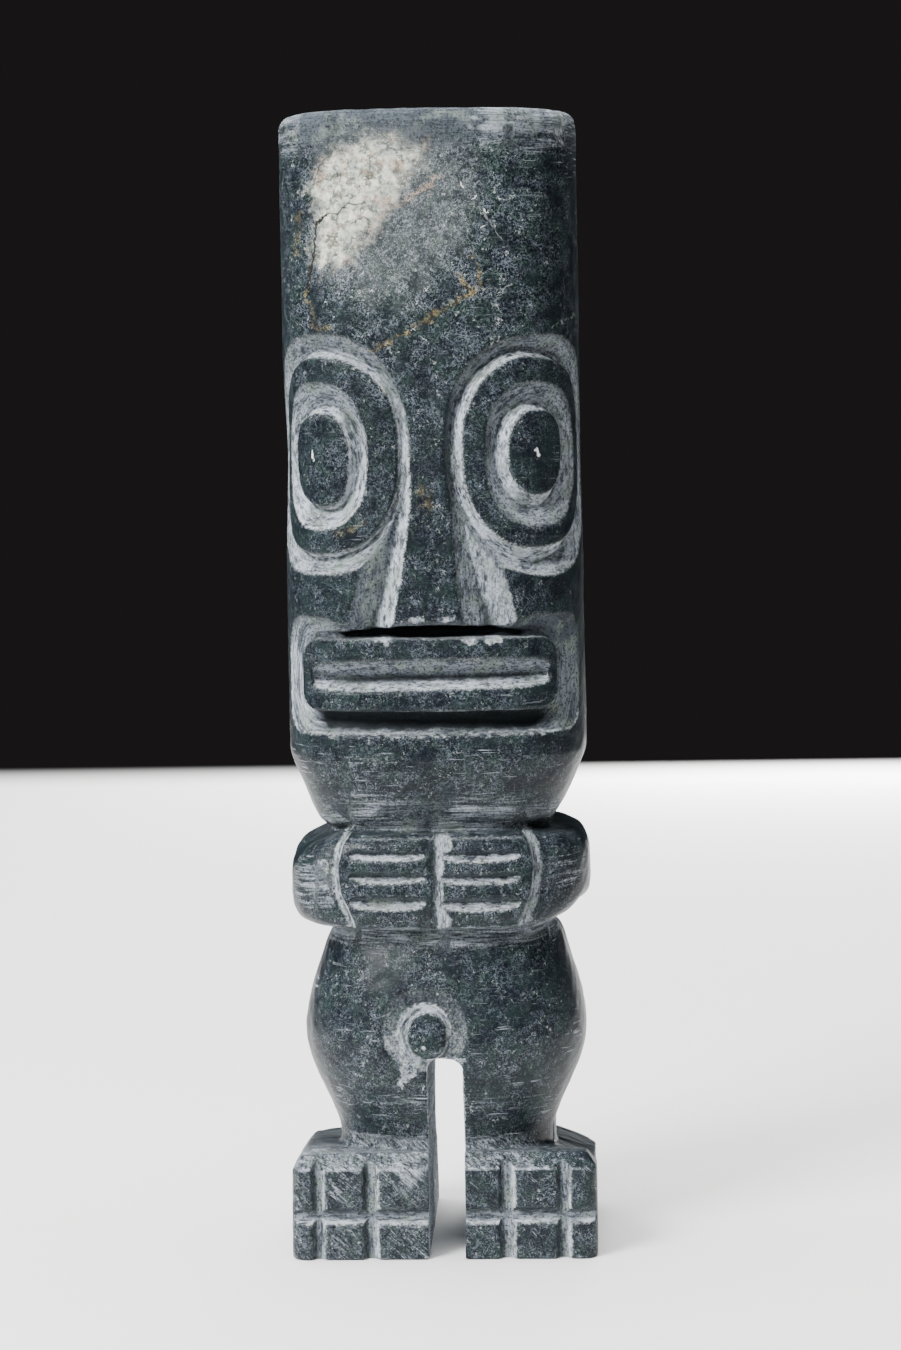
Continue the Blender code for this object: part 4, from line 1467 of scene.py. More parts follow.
VEINS = (
    Vein(VeinKind.CRACK, ((-14.4, 173.4), (-16.2, 171.3), (-18.1, 167.8)), 0.24, 0.7),
    Vein(VeinKind.CRACK, ((-15.1, 164.0), (-17.1, 162.7), (-17.7, 159.3), (-18.4, 155.6), (-19.2, 153.2),
                          (-19.7, 151.7)), 0.34, 1.0),
    Vein(VeinKind.CRACK, ((-15.3, 163.7), (-13.4, 164.2), (-11.8, 165.6), (-9.3, 165.3)), 0.24, 0.8),
    Vein(VeinKind.CRACK, ((-16.8, 168.6), (-13.7, 169.7)), 0.18, 0.7),
    Vein(VeinKind.CRACK, ((-11.2, 162.6), (-9.3, 163.5), (-8.1, 162.4)), 0.20, 0.7),
    Vein(VeinKind.CRACK, ((-12.6, 158.2), (-11.0, 160.3), (-9.1, 160.9)), 0.16, 0.6),
    Vein(VeinKind.CRACK, ((-9.0, 172.0), (-6.4, 173.5), (-3.7, 173.9)), 0.16, 0.5),
    Vein(VeinKind.CRACK, ((-19.7, 151.7), (-18.7, 149.6), (-17.8, 146.8), (-15.1, 146.2)), 0.24, 0.6),
    Vein(VeinKind.OCHRE, ((-19.7, 151.7), (-18.7, 149.6), (-17.8, 146.8), (-15.1, 146.2)), 0.8, 0.7),
    Vein(VeinKind.ROSE, ((2.3, 169.2), (1.4, 168.5), (-1.1, 167.0), (-4.2, 165.2), (-5.9, 164.3),
                         (-8.1, 161.5)), 0.8, 1.0),
    Vein(VeinKind.ROSE, ((-2.5, 173.7), (1.5, 173.9)), 0.6, 0.6),
    Vein(VeinKind.OCHRE, ((7.5, 157.0), (8.3, 154.5), (8.2, 151.9), (6.1, 150.9), (2.6, 148.9), (-0.2, 147.7),
                          (-3.0, 145.6), (-5.6, 144.5), (-8.6, 142.7)), 0.62, 1.0),
    Vein(VeinKind.OCHRE, ((4.9, 154.2), (6.4, 152.7), (7.0, 151.4)), 0.7, 0.9),
    Vein(VeinKind.OCHRE, ((1.6, 148.5), (0.2, 147.6)), 0.9, 0.9),
    Vein(VeinKind.OCHRE, ((-8.6, 142.7), (-11.0, 141.4)), 0.6, 0.5),
    Vein(VeinKind.PALE, ((8.2, 151.9), (10.2, 151.9), (13.4, 152.6)), 0.22, 0.7),
    Vein(VeinKind.PALE, ((20.3, 146.0), (23.2, 147.2), (28.6, 148.2)), 0.20, 0.6),
    Vein(VeinKind.PALE, ((8.0, 165.0), (10.3, 162.2), (12.2, 159.0), (13.2, 156.8)), 0.16, 0.6),
    Vein(VeinKind.PALE, ((-18.7, 167.2), (-21.0, 167.4)), 0.35, 0.8),
    Vein(VeinKind.OCHRE, ((-21.0, 163.6), (-21.9, 158.4)), 1.4, 0.6),
    Vein(VeinKind.PALE, ((-12.9, 139.7), (-11.3, 140.3), (-9.4, 141.1), (-7.7, 141.9)), 0.22, 0.8),
    Vein(VeinKind.OCHRE, ((6.6, 94.3), (7.6, 94.3)), 0.9, 1.0),
    Vein(VeinKind.OCHRE, ((-0.9, 121.0), (-0.6, 118.6)), 1.6, 0.6),
    Vein(VeinKind.OCHRE, ((-14.3, 114.5), (-12.6, 115.2), (-10.7, 116.5)), 1.0, 0.5),
    Vein(VeinKind.GLINT, ((-18.9, 126.3), (-18.9, 127.0)), 0.30),
    Vein(VeinKind.GLINT, ((17.1, 126.9), (17.4, 126.5)), 0.50),
    Vein(VeinKind.GLINT, ((5.6, 168.2), (6.2, 167.6)), 0.12),
    Vein(VeinKind.GLINT, ((7.4, 165.9), (8.0, 166.2)), 0.15),
    Vein(VeinKind.GLINT, ((9.2, 164.1), (9.6, 163.6)), 0.13),
    Vein(VeinKind.GLINT, ((8.6, 161.2), (9.0, 161.6)), 0.12),
    Vein(VeinKind.GLINT, ((11.3, 166.0), (11.8, 165.8)), 0.10),
)

VEIN_COLOURS = {
    VeinKind.CRACK: (0.020, 0.017, 0.013),
    VeinKind.OCHRE: (0.330, 0.260, 0.120),
    VeinKind.ROSE: (0.480, 0.350, 0.280),
    VeinKind.PALE: (0.300, 0.320, 0.310),
    VeinKind.GLINT: (0.800, 0.820, 0.800),
}


@dataclass(frozen=True)
class Cloud:
    """A noise that is stepped softly from one value to another.

    Attributes:
        scale: Its fineness.
        detail: How many finer layers lie over it.
        rough: How strong those layers are.
        start: Noise at which the step starts.
        end: Noise at which it ends.
        low: Value before the step.
        high: Value after it.
    """

    scale: float
    detail: float
    rough: float
    start: float
    end: float
    low: float = 0.0
    high: float = 1.0


class Painter:
    """Joins shader nodes with short calls."""

    def __init__(self, name: str) -> None:
        """Start a material.

        Args:
            name: The material's name.
        """
        self.material = bpy.data.materials.new(name)
        self.material.use_nodes = True
        self.tree = self.material.node_tree
        self.shader = self.tree.nodes["Principled BSDF"]

    def node(self, kind: str, **settings: object) -> bpy.types.Node:
        """Add a node.

        Args:
            kind: The node's type.
            **settings: Its own values.

        Returns:
            bpy.types.Node: The node.
        """
        made = self.tree.nodes.new(kind)
        for name, value in settings.items():
            setattr(made, name, value)
        return made

    def feed(self, socket: bpy.types.NodeSocket, value: object) -> None:
        """Link a socket to another, or set its value.

        Args:
            socket: The socket to feed.
            value: Another node's socket, a number or a row of numbers.
        """
        if isinstance(value, bpy.types.NodeSocket):
            self.tree.links.new(value, socket)
        elif isinstance(value, tuple) and socket.type == "RGBA":
            socket.default_value = (*value, 1.0)
        else:
            socket.default_value = value

    def sum(self, kind: str, first: object, second: object = 0.0) -> bpy.types.NodeSocket:
        """Do one sum on numbers.

        Args:
            kind: The sum.
            first: Its first number or socket.
            second: Its second number or socket.

        Returns:
            bpy.types.NodeSocket: The answer.
        """
        made = self.node("ShaderNodeMath", operation=kind)
        self.feed(made.inputs[0], first)
        self.feed(made.inputs[1], second)
        return made.outputs[0]

    def held(self, value: object) -> bpy.types.NodeSocket:
        """Hold a number between 0 and 1."""
        made = self.node("ShaderNodeClamp")
        self.feed(made.inputs[0], value)
        return made.outputs[0]

    def vector(self, kind: str, first: object, second: object = None,
               scale: object = None) -> bpy.types.NodeSocket:
        """Do one sum on vectors.

        Args:
            kind: The sum.
            first: Its first vector or socket.
            second: Its second vector or socket.
            scale: The factor of a scaling.

        Returns:
            bpy.types.NodeSocket: The answer.
        """
        made = self.node("ShaderNodeVectorMath", operation=kind)
        self.feed(made.inputs[0], first)
        if second is not None:
            self.feed(made.inputs[1], second)
        if scale is not None:
            self.feed(made.inputs["Scale"], scale)
        return made.outputs["Value" if kind in ("DOT_PRODUCT", "DISTANCE") else "Vector"]

    def times(self, first: object, second: object) -> bpy.types.NodeSocket:
        """Multiply two numbers."""
        return self.sum("MULTIPLY", first, second)

    def plus(self, first: object, second: object) -> bpy.types.NodeSocket:
        """Add two numbers."""
        return self.sum("ADD", first, second)

    def number(self, name: str) -> bpy.types.NodeSocket:
        """Read a number that the mesh stores."""
        return self.node("ShaderNodeAttribute", attribute_name=name).outputs["Fac"]

    def place(self, name: str) -> bpy.types.NodeSocket:
        """Read a place that the mesh stores."""
        return self.node("ShaderNodeAttribute", attribute_name=name).outputs["Vector"]

    def noise(self, where: object, scale: float, detail: float = 2.0, rough: float = 0.5,
              twist: float = 0.0) -> bpy.types.NodeSocket:
        """Read a noise.

        Args:
            where: The place it is read at.
            scale: Its fineness.
            detail: How many finer layers lie over it.
            rough: How strong those layers are.
            twist: How far it is twisted.

        Returns:
            bpy.types.NodeSocket: The noise, around 0.5.
        """
        made = self.node("ShaderNodeTexNoise", noise_dimensions="3D")
        self.feed(made.inputs["Vector"], where)
        self.feed(made.inputs["Scale"], scale)
        self.feed(made.inputs["Detail"], detail)
        self.feed(made.inputs["Roughness"], rough)
        self.feed(made.inputs["Distortion"], twist)
        return made.outputs["Fac"]

    def swing(self, where: object, scale: float, detail: float, rough: float,
              twist: float = 0.0) -> bpy.types.NodeSocket:
        """Read a noise that swings about 0."""
        return self.sum("SUBTRACT", self.noise(where, scale, detail, rough, twist), 0.5)

    def step(self, value: object, start: object, end: object, low: float = 0.0,
             high: float = 1.0) -> bpy.types.NodeSocket:
        """Step softly from one value to another.

        Args:
            value: What is stepped.
            start: Where the step starts.
            end: Where it ends.
            low: Value before the step.
            high: Value after it.

        Returns:
            bpy.types.NodeSocket: The stepped value.
        """
        made = self.node("ShaderNodeMapRange", interpolation_type="SMOOTHSTEP")
        for socket, given in zip(made.inputs, (value, start, end, low, high)):
            self.feed(socket, given)
        return made.outputs[0]

    def cloud(self, where: object, cloud: Cloud) -> bpy.types.NodeSocket:
        """Read a noise at a place and step it softly."""
        noise = self.noise(where, cloud.scale, cloud.detail, cloud.rough)
        return self.step(noise, cloud.start, cloud.end, cloud.low, cloud.high)

    def mix(self, share: object, first: object, second: object) -> bpy.types.NodeSocket:
        """Mix two colours.

        Args:
            share: How much of the second is taken.
            first: The first colour.
            second: The second colour.

        Returns:
            bpy.types.NodeSocket: The mixed colour.
        """
        made = self.node("ShaderNodeMix", data_type="RGBA")
        self.feed(made.inputs["Factor"], share)
        self.feed(made.inputs[6], first)
        self.feed(made.inputs[7], second)
        return made.outputs[2]

    def near_path(self, where: object, path: Sequence[Place]) -> bpy.types.NodeSocket:
        """Measure the distance to a path on the skin.

        Args:
            where: The place on the skin.
            path: Places along the path.

        Returns:
            bpy.types.NodeSocket: The distance.
        """
        nearest = None
        for start, end in zip(path, path[1:]):
            run = Vector((end[0] - start[0], end[1] - start[1], 0.0))
            offset = self.vector("SUBTRACT", where, (*start, 0.0))
            along = self.vector("DOT_PRODUCT", offset, tuple(run / run.length_squared))
            near = self.vector("SCALE", tuple(run), scale=self.held(along))
            length = self.vector("DISTANCE", offset, near)
            nearest = length if nearest is None else self.sum("MINIMUM", nearest, length)
        return nearest


@dataclass(frozen=True)
class Threads:
    """One layer of the fine light threads that fill the polished stone.

    Attributes:
        shift: Where the layer is read, so that no two layers match.
        scale: Its fineness.
        width: How wide its threads are.
        weight: How bright they are.
    """

    shift: float
    scale: float
    width: float
    weight: float


@dataclass(frozen=True)
class StoneFinish:
    """Dark green-black stone: polished skin full of fine light threads, with a pale forehead haze that is
    partly a painted sheen, and chalky cut faces that carry painted light and shade.
    """

    deep: Colour = (0.005, 0.007, 0.011)
    green: Colour = (0.009, 0.016, 0.018)
    thread: Colour = (0.150, 0.178, 0.208)
    thread_green: Colour = (0.085, 0.120, 0.110)
    # Bright flecks in the stone, also the painted highlight on worn edges.
    fleck_and_highlight: Colour = (0.560, 0.590, 0.580)
    veil_and_sheen: Colour = (0.105, 0.120, 0.122)
    # Ground of the forehead's pale haze, partly a painted sheen.
    milky: Colour = (0.640, 0.680, 0.600)
    cream: Colour = (0.860, 0.830, 0.710)
    blush: Colour = (0.520, 0.360, 0.260)
    olive: Colour = (0.070, 0.080, 0.060)
    chalk_dark: Colour = (0.045, 0.054, 0.066)
    # Chalk in painted shade and in painted light: a shaded and a lit copy of one chalk.
    chalk_shaded: Colour = (0.070, 0.084, 0.100)
    chalk_lit: Colour = (0.520, 0.570, 0.640)
    chalk_green: Colour = (0.200, 0.240, 0.205)
    # Dark pits in the chalk, also used for painted shade along creases and in deep cuts.
    pit_and_shade: Colour = (0.020, 0.024, 0.027)
    polish: float = 0.36
    shine: float = 0.15
    chalk_rough: float = 0.92
    green_cloud: Cloud = Cloud(0.30, 3.0, 0.6, 0.42, 0.62)
    veil_and_sheen_cloud: Cloud = Cloud(0.5, 4.0, 0.7, 0.36, 0.58, 0.45, 1.0)
    dense_cloud: Cloud = Cloud(0.26, 4.0, 0.65, 0.36, 0.60, 0.26, 1.12)
    tint_cloud: Cloud = Cloud(0.45, 2.0, 0.5, 0.46, 0.60)
    speck_cloud: Cloud = Cloud(1.3, 2.0, 0.6, 0.58, 0.72)
    core_cloud: Cloud = Cloud(0.75, 4.0, 0.7, 0.30, 0.56, 0.45, 1.0)
    cream_cloud: Cloud = Cloud(0.36, 4.0, 0.6, 0.46, 0.56)
    blush_cloud: Cloud = Cloud(0.42, 4.0, 0.65, 0.53, 0.63, 0.0, 0.7)
    olive_cloud: Cloud = Cloud(0.8, 5.0, 0.75, 0.38, 0.54, 0.75, 0.0)
    seam_cloud: Cloud = Cloud(0.5, 3.0, 0.5, 0.46, 0.56)
    broken_cloud: Cloud = Cloud(1.1, 3.0, 0.5, 0.42, 0.58)
    green_chalk_cloud: Cloud = Cloud(0.35, 3.0, 0.5, 0.48, 0.66, 0.0, 0.55)
    patchy_cloud: Cloud = Cloud(0.9, 3.0, 0.5, 0.42, 0.62)
    scratch_cloud: Cloud = Cloud(2.7, 2.0, 0.6, 0.62, 0.67)
    struck_cloud: Cloud = Cloud(0.16, 2.0, 0.5, 0.44, 0.58, 0.0, 0.85)
    dim_left: tuple[float, ...] = (-26.0, -12.0, 0.50, 1.0)
    dim_right: tuple[float, ...] = (11.0, 23.0, 1.0, 0.48)
    dim_low: tuple[float, ...] = (122.0, 160.0, 0.62, 1.2)
    layers: tuple[Threads, ...] = (
        Threads(0.0, 0.72, 0.030, 1.0),
        Threads(31.0, 1.05, 0.036, 0.9),
        Threads(67.0, 1.60, 0.046, 0.75),
    )

    def material(self) -> bpy.types.Material:
        """Mix the stone.

        Returns:
            bpy.types.Material: The stone.
        """
        paint = Painter("dark_stone")
        metres = paint.node("ShaderNodeTexCoord").outputs["Object"]
        where = paint.vector("SCALE", metres, scale=1.0 / MM)
        skin_place = paint.place("skin_place")
        ground, threads = self.ground(paint, where)
        ground = self.patch(paint, where, ground)
        ground = self.veins(paint, where, skin_place, ground, threads)
        chalk, streak = self.chalk(paint, where)
        cover = self.cover(paint, where, streak)
        paint.feed(paint.shader.inputs["Base Color"], paint.mix(cover, ground, chalk))
        rough = paint.step(cover, 0.0, 1.0, self.polish, self.chalk_rough)
        paint.feed(paint.shader.inputs["Roughness"], rough)
        paint.feed(paint.shader.inputs["Specular IOR Level"], self.shine)
        self.relief(paint, where, streak, cover)
        return paint.material

    def ridges(self, paint: Painter, where: object, layer: Threads) -> bpy.types.NodeSocket:
        """Draw one layer of broken, curling threads.

        Args:
            paint: The material's painter.
            where: Place in millimetres.
            layer: The layer's sizes.

        Returns:
            bpy.types.NodeSocket: 1 on a thread and 0 beside it.
        """
        moved = paint.vector("ADD", where, (layer.shift, layer.shift * 0.7, -layer.shift))
        slope = paint.swing(moved, layer.scale, 3.0, 0.6, 0.9)
        line = paint.step(paint.sum("ABSOLUTE", slope), layer.width, layer.width * 0.3)
        broken = paint.step(paint.noise(moved, layer.scale * 2.6, 1.0, 0.5), 0.45, 0.54)
        return paint.times(line, paint.times(broken, layer.weight))

    def ground(self, paint: Painter, where: object) -> tuple[bpy.types.NodeSocket, bpy.types.NodeSocket]:
        """Mix the polished stone, with a pale haze on the forehead that is partly a painted sheen.

        Args:
            paint: The material's painter.
            where: Place in millimetres.

        Returns:
            tuple: Its colour, and where its light threads are.
        """
        base = paint.mix(paint.cloud(where, self.green_cloud), self.deep, self.green)
        # A pale haze on the forehead: a paler ground with denser, brighter threads, partly a painted sheen.
        drift = paint.times(paint.swing(where, 0.35, 5.0, 0.65), 16.0)
        veil_and_sheen = paint.step(paint.plus(paint.number("inside_veil_and_sheen"), drift), -3.0, 4.0)
        veil_and_sheen = paint.times(veil_and_sheen, paint.cloud(where, self.veil_and_sheen_cloud))
        base = paint.mix(paint.times(veil_and_sheen, 0.6), base, self.veil_and_sheen)
        threads = None
        for layer in self.layers:
            line = self.ridges(paint, where, layer)
            threads = line if threads is None else paint.sum("MAXIMUM", threads, line)
        dense = paint.cloud(where, self.dense_cloud)
        side = paint.node("ShaderNodeSeparateXYZ")
        paint.feed(side.inputs[0], paint.place("skin_place"))
        left = paint.step(side.outputs["X"], *self.dim_left)
        right = paint.step(side.outputs["X"], *self.dim_right)
        aside = paint.times(left, right)
        lower = paint.step(side.outputs["Y"], *self.dim_low)
        dense = paint.times(paint.times(dense, aside), lower)
        dense = paint.sum("MAXIMUM", dense, veil_and_sheen)
        threads = paint.times(threads, dense)
        greenish = paint.cloud(where, self.tint_cloud)
        tint = paint.mix(greenish, self.thread, self.thread_green)
        bright = paint.cloud(where, self.speck_cloud)
        bright = paint.held(paint.plus(bright, paint.times(veil_and_sheen, 0.25)))
        tint = paint.mix(bright, tint, self.fleck_and_highlight)
        return paint.mix(threads, base, tint), threads

    @staticmethod
    def stray(paint: Painter, where: object) -> bpy.types.NodeSocket:
        """Return a small uneven shift in all three ways."""
        slow = paint.node("ShaderNodeTexNoise")
        paint.feed(slow.inputs["Vector"], where)
        paint.feed(slow.inputs["Scale"], 0.8)
        paint.feed(slow.inputs["Detail"], 5.0)
        return paint.vector("SUBTRACT", slow.outputs["Color"], (0.5, 0.5, 0.5))

    def patch(self, paint: Painter, where: object, ground: object) -> bpy.types.NodeSocket:
        """Lay the pale patch of the forehead over the polished stone.

        Args:
            paint: The material's painter.
            where: Place in millimetres.
            ground: The polished stone's colour.

        Returns:
            bpy.types.NodeSocket: The colour with the patch.
        """
        cloud = paint.swing(where, 0.55, 6.0, 0.65)
        ragged = paint.plus(paint.number("milky"), paint.times(cloud, 9.0))
        core = paint.step(ragged, -1.6, 3.6)
        far = paint.vector("ADD", where, (40.0, 11.0, -23.0))
        core = paint.times(core, paint.cloud(far, self.core_cloud))
        tone = paint.mix(paint.cloud(where, self.cream_cloud), self.milky, self.cream)
        warm = paint.cloud(far, self.blush_cloud)
        tone = paint.mix(warm, tone, self.blush)
        shade = paint.cloud(where, self.olive_cloud)
        tone = paint.mix(shade, tone, self.olive)
        shift = paint.vector("SCALE", self.stray(paint, where), scale=0.7)
        wobble = paint.vector("ADD", paint.vector("SCALE", where, scale=0.22), shift)
        facet = paint.node("ShaderNodeTexVoronoi", feature="DISTANCE_TO_EDGE")
        paint.feed(facet.inputs["Vector"], wobble)
        paint.feed(facet.inputs["Scale"], 1.0)
        seam = paint.step(facet.outputs["Distance"], 0.060, 0.0, 0.0, 0.9)
        seam = paint.times(seam, paint.cloud(far, self.seam_cloud))
        tone = paint.mix(seam, tone, self.olive)
        return paint.mix(core, ground, tone)

    def veins(self, paint: Painter, where: object, skin_place: object, ground: object,
              threads: object) -> bpy.types.NodeSocket:
        """Lay the veins and cracks over the polished stone.

        Args:
            paint: The material's painter.
            where: Place in millimetres.
            skin_place: Place on the skin.
            ground: The colour under them.
            threads: Where the light threads are, which the coloured veins stain.

        Returns:
            bpy.types.NodeSocket: The colour with the veins.
        """
        drift = paint.vector("MULTIPLY", self.stray(paint, where), (2.2, 2.2, 0.0))
        strayed = paint.vector("ADD", skin_place, drift)
        broken = paint.cloud(where, self.broken_cloud)
        stained = paint.held(paint.times(paint.plus(threads, 0.12), broken))
        for vein in VEINS:
            line = paint.step(paint.near_path(strayed, vein.path), vein.width, vein.width * 0.25)
            if vein.kind in (VeinKind.OCHRE, VeinKind.ROSE):
                line = paint.times(line, stained)
            elif vein.kind is VeinKind.PALE:
                line = paint.times(line, broken)
            ground = paint.mix(paint.times(line, vein.strength), ground, VEIN_COLOURS[vein.kind])
        return ground

    def chalk(self, paint: Painter, where: object) -> tuple[bpy.types.NodeSocket, bpy.types.NodeSocket]:
        """Mix the chalky cut stone, with painted light and shade: paler on faces turned to the lamp, darker
        on faces turned away, and painted shade along the deepest lines and in deep cuts.

        Args:
            paint: The material's painter.
            where: Place in millimetres.

        Returns:
            tuple: Its colour, and the streaks left by the tool.
        """
        grain = paint.place("grain")
        fine = paint.noise(grain, 3.6, 3.0, 0.65, 0.5)
        broad = paint.noise(grain, 1.0, 2.0, 0.5)
        streak = paint.plus(paint.times(fine, 0.6), paint.times(broad, 0.4))
        # Painted light and shade: the chalk runs from its shaded to its lit colour by the stored paleness.
        light = paint.number("light")
        pale = paint.mix(light, self.chalk_shaded, self.chalk_lit)
        colour = paint.mix(paint.step(streak, 0.38, 0.60), self.chalk_dark, pale)
        colour = paint.mix(paint.cloud(where, self.green_chalk_cloud), colour, self.chalk_green)
        # Dark pits, more of them where the chalk is painted shaded.
        pitted = paint.step(light, 0.3, 0.85, 0.80, 0.35)
        pits = paint.step(paint.noise(where, 2.4, 2.0, 0.6), 0.47, 0.38, 0.0, pitted)
        colour = paint.mix(pits, colour, self.pit_and_shade)
        # Worn, chipped edges just inside each cut's rim, paler on lit faces: wear, and partly a painted
        # highlight.
        worn = paint.sum("ABSOLUTE", paint.sum("SUBTRACT", paint.number("carved"), 0.25))
        patchy = paint.cloud(where, self.patchy_cloud)
        worn = paint.times(paint.step(worn, 0.45, 0.1), patchy)
        worn = paint.times(worn, light)
        colour = paint.mix(paint.times(worn, 0.9), colour, self.fleck_and_highlight)
        # Painted shade along each cut's deepest line.
        crease = paint.step(paint.sum("ABSOLUTE", paint.number("floor")), 0.45, 0.0, 0.0, 0.75)
        colour = paint.mix(paint.times(crease, paint.step(patchy, 0.0, 1.0, 0.3, 1.0)), colour, self.pit_and_shade)
        # Painted shade deep in the cuts: the nose slot and the trough under the lips go near black.
        deep_cut_shade = paint.step(paint.number("depth"), 1.9, 3.0, 0.0, 0.95)
        return paint.mix(deep_cut_shade, colour, self.pit_and_shade), streak

    def cover(self, paint: Painter, where: object, streak: object) -> bpy.types.NodeSocket:
        """Say how far chalk covers the polish.

        Args:
            paint: The material's painter.
            where: Place in millimetres.
            streak: The tool's streaks.

        Returns:
            bpy.types.NodeSocket: 0 for polish and 1 for chalk.
        """
        grit = paint.swing(where, 2.6, 3.0, 0.65)
        edge = paint.plus(paint.number("carved"), paint.times(grit, 1.3))
        # Chalk fades out softly where it is painted shaded and ends crisply where it is painted lit.
        fade = paint.step(paint.number("light"), 0.35, 0.80, 1.15, 0.55)
        cut = paint.step(edge, -0.05, fade, 0.0, 0.95)
        scuff = paint.number("scuff")
        scratch = paint.cloud(paint.place("grain"), self.scratch_cloud)
        struck = paint.cloud(where, self.struck_cloud)
        scratch = paint.times(scratch, paint.times(paint.step(scuff, 0.0, 0.12), struck))
        scuffed = paint.plus(paint.plus(streak, scuff), paint.times(grit, 0.6))
        scuffed = paint.step(scuffed, 0.70, 1.05, 0.0, 0.8)
        return paint.sum("MAXIMUM", cut, paint.sum("MAXIMUM", scuffed, scratch))

    def relief(self, paint: Painter, where: object, streak: object, cover: object) -> None:
        """Give the surface its finest relief.

        Args:
            paint: The material's painter.
            where: Place in millimetres.
            streak: The tool's streaks.
            cover: How far chalk covers the polish.
        """
        height = paint.times(streak, cover)
        height = paint.plus(height, paint.times(paint.noise(where, 1.6, 1.0), 0.15))
        bump = paint.node("ShaderNodeBump")
        paint.feed(bump.inputs["Strength"], 0.8)
        paint.feed(bump.inputs["Distance"], 0.20 * MM)
        paint.feed(bump.inputs["Height"], height)
        paint.feed(paint.shader.inputs["Normal"], bump.outputs["Normal"])


@dataclass(frozen=True)
class Stage:
    """A pale table top with soft edges, and plain dark air about it."""

    reach: float = 4.0
    half_width: float = 0.27
    pale: Colour = (0.84, 0.835, 0.83)
    dark: Colour = (0.0125, 0.0110, 0.0110)
    edge: float = 0.640
    near_edge: float = -0.15
    soft: float = 0.035

    def build(self) -> None:
        """Lay the floor."""
        bpy.ops.mesh.primitive_plane_add(size=2.0 * self.reach)
        floor = bpy.context.object
        floor.name = floor.data.name = "floor"
        floor.data.materials.append(self.finish())
        LOG.info("floor laid")

    def finish(self) -> bpy.types.Material:
        """Colour the floor pale near the figure and dark beyond the edges of the table.

        Returns:
            bpy.types.Material: The floor's finish.
        """
        paint = Painter("floor_finish")
        split = paint.node("ShaderNodeSeparateXYZ")
        paint.feed(split.inputs[0], paint.node("ShaderNodeTexCoord").outputs["Object"])
        beyond = paint.step(split.outputs["Y"], self.edge - self.soft, self.edge + self.soft)
        ahead = paint.step(split.outputs["Y"], self.near_edge + self.soft, self.near_edge - self.soft)
        aside = paint.sum("ABSOLUTE", split.outputs["X"])
        aside = paint.step(aside, self.half_width - self.soft, self.half_width + self.soft)
        beyond = paint.sum("MAXIMUM", beyond, paint.sum("MAXIMUM", ahead, aside))
        paint.feed(paint.shader.inputs["Base Color"], paint.mix(beyond, self.pale, (0.0, 0.0, 0.0)))
        paint.feed(paint.shader.inputs["Roughness"], 0.6)
        paint.feed(paint.shader.inputs["Specular IOR Level"], paint.step(beyond, 0.0, 1.0, 0.3, 0.0))
        paint.feed(paint.shader.inputs["Emission Color"], self.dark)
        paint.feed(paint.shader.inputs["Emission Strength"], beyond)
        return paint.material


@dataclass(frozen=True)
class Lamp:
    """A soft square lamp that shines at a point, with or without a shine on polished stone."""

    name: str
    place: Spot
    target: Spot
    size: float
    power: float
    shines: bool = True

    def build(self) -> None:
        """Hang the lamp."""
        light = bpy.data.lights.new(self.name, "AREA")
        light.size = self.size
        light.energy = self.power
        lamp = bpy.data.objects.new(self.name, light)
        lamp.location = self.place
        way = Vector(self.target) - Vector(self.place)
        lamp.rotation_euler = way.to_track_quat("-Z", "Y").to_euler()
        lamp.visible_camera = False
        lamp.visible_glossy = self.shines
        bpy.context.scene.collection.objects.link(lamp)


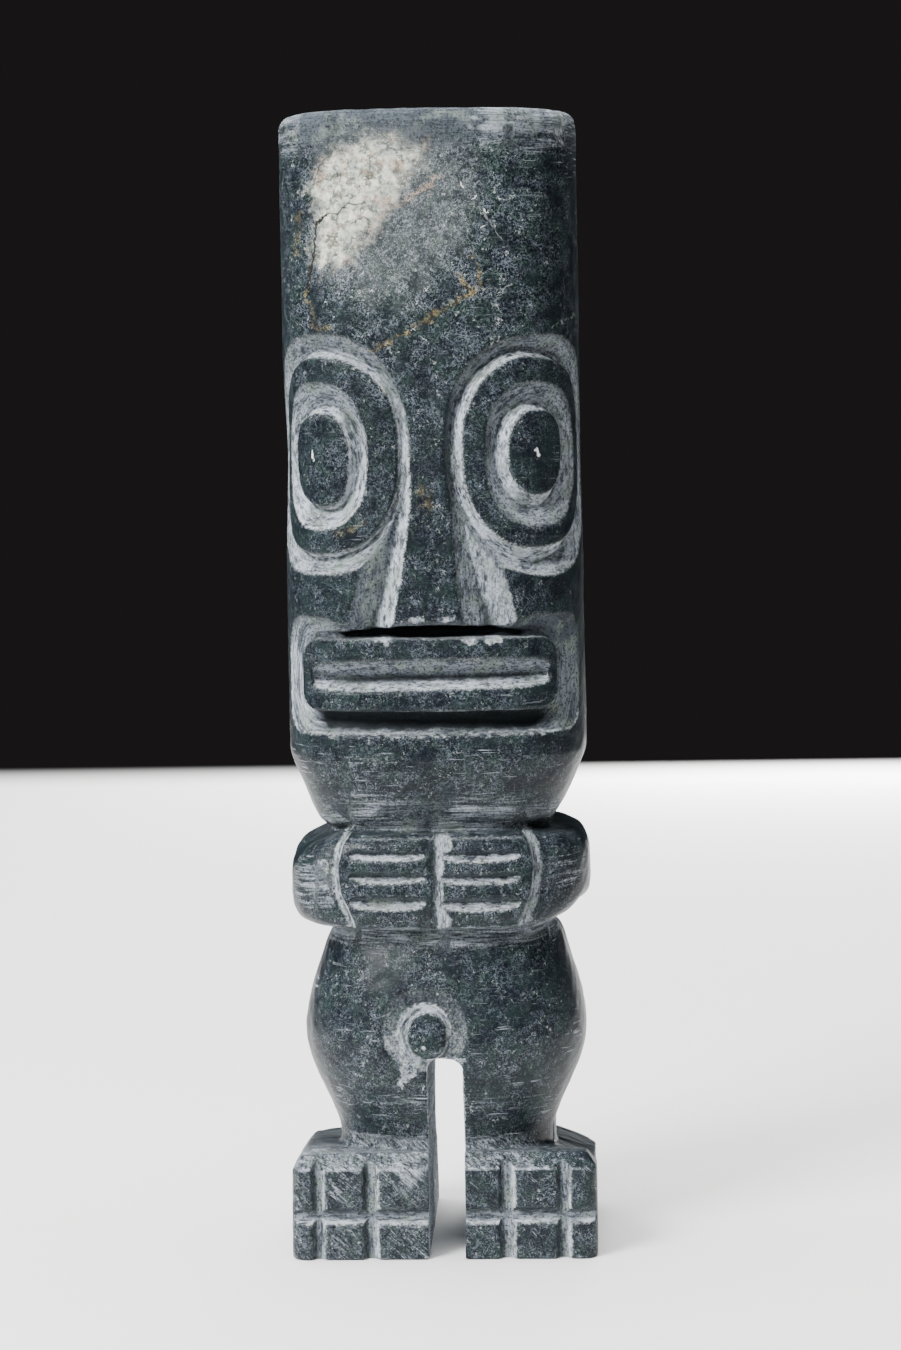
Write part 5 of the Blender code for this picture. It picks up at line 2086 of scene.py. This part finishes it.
LAMPS = (
    Lamp("key", (-0.56, -0.60, 0.72), (0.0, 0.0, 0.09), 0.40, 25.0),
    Lamp("front", (-0.16, -0.95, 0.34), (0.0, 0.0, 0.12), 0.30, 1.0),
    Lamp("top", (-0.10, 0.10, 1.00), (0.0, 0.0, 0.0), 0.90, 30.0, shines=False),
    Lamp("fill", (0.85, -0.35, 0.40), (0.0, 0.0, 0.08), 0.60, 0.8, shines=False),
    Lamp("gap", (0.14, 0.80, 0.04), (0.0, 0.0, 0.02), 0.20, 22.0, shines=False),
    Lamp("back_left", (-0.60, 0.70, 0.40), (0.0, 0.0, 0.09), 0.60, 1.2, shines=False),
    Lamp("back_right", (0.60, 0.70, 0.40), (0.0, 0.0, 0.09), 0.60, 1.2, shines=False),
)


@dataclass(frozen=True)
class Viewpoint:
    """The camera at the photograph's viewing angle."""

    place: Spot = (0.02053, -0.54161, 0.13823)
    aim: Spot = (0.00162, 0.0, 0.09081)
    roll: float = math.radians(-0.9)
    lens: float = 90.0
    sensor: float = 36.0

    def build(self) -> None:
        """Set the camera up and make it the scene's."""
        data = bpy.data.cameras.new("view")
        data.lens = self.lens
        data.sensor_width = self.sensor
        data.sensor_fit = "AUTO"
        camera = bpy.data.objects.new("view", data)
        ahead = (Vector(self.aim) - Vector(self.place)).normalized()
        side = ahead.cross(Vector((0.0, 0.0, 1.0))).normalized()
        up = side.cross(ahead)
        turned_side = side * math.cos(self.roll) + up * math.sin(self.roll)
        turned_up = up * math.cos(self.roll) - side * math.sin(self.roll)
        matrix = Matrix((turned_side, turned_up, -ahead)).transposed().to_4x4()
        matrix.translation = self.place
        camera.matrix_world = matrix
        bpy.context.scene.collection.objects.link(camera)
        bpy.context.scene.camera = camera


def light_air(strength: float, colour: Colour) -> None:
    """Fill the air with a dim even light.

    Args:
        strength: How strong it is.
        colour: Its colour.
    """
    world = bpy.data.worlds.new("air")
    world.use_nodes = True
    background = world.node_tree.nodes["Background"]
    background.inputs["Color"].default_value = (*colour, 1.0)
    background.inputs["Strength"].default_value = strength
    bpy.context.scene.world = world


def main() -> None:
    """Build the figure and the scene round it."""
    logging.basicConfig(level=logging.INFO, format="%(name)s: %(message)s")
    bpy.ops.object.select_all(action="DESELECT")
    Viewpoint().build()
    StoneFigure(StoneFinish()).build()
    Stage().build()
    for lamp in LAMPS:
        lamp.build()
    light_air(1.0, Stage().dark)


if __name__ == "__main__":
    main()
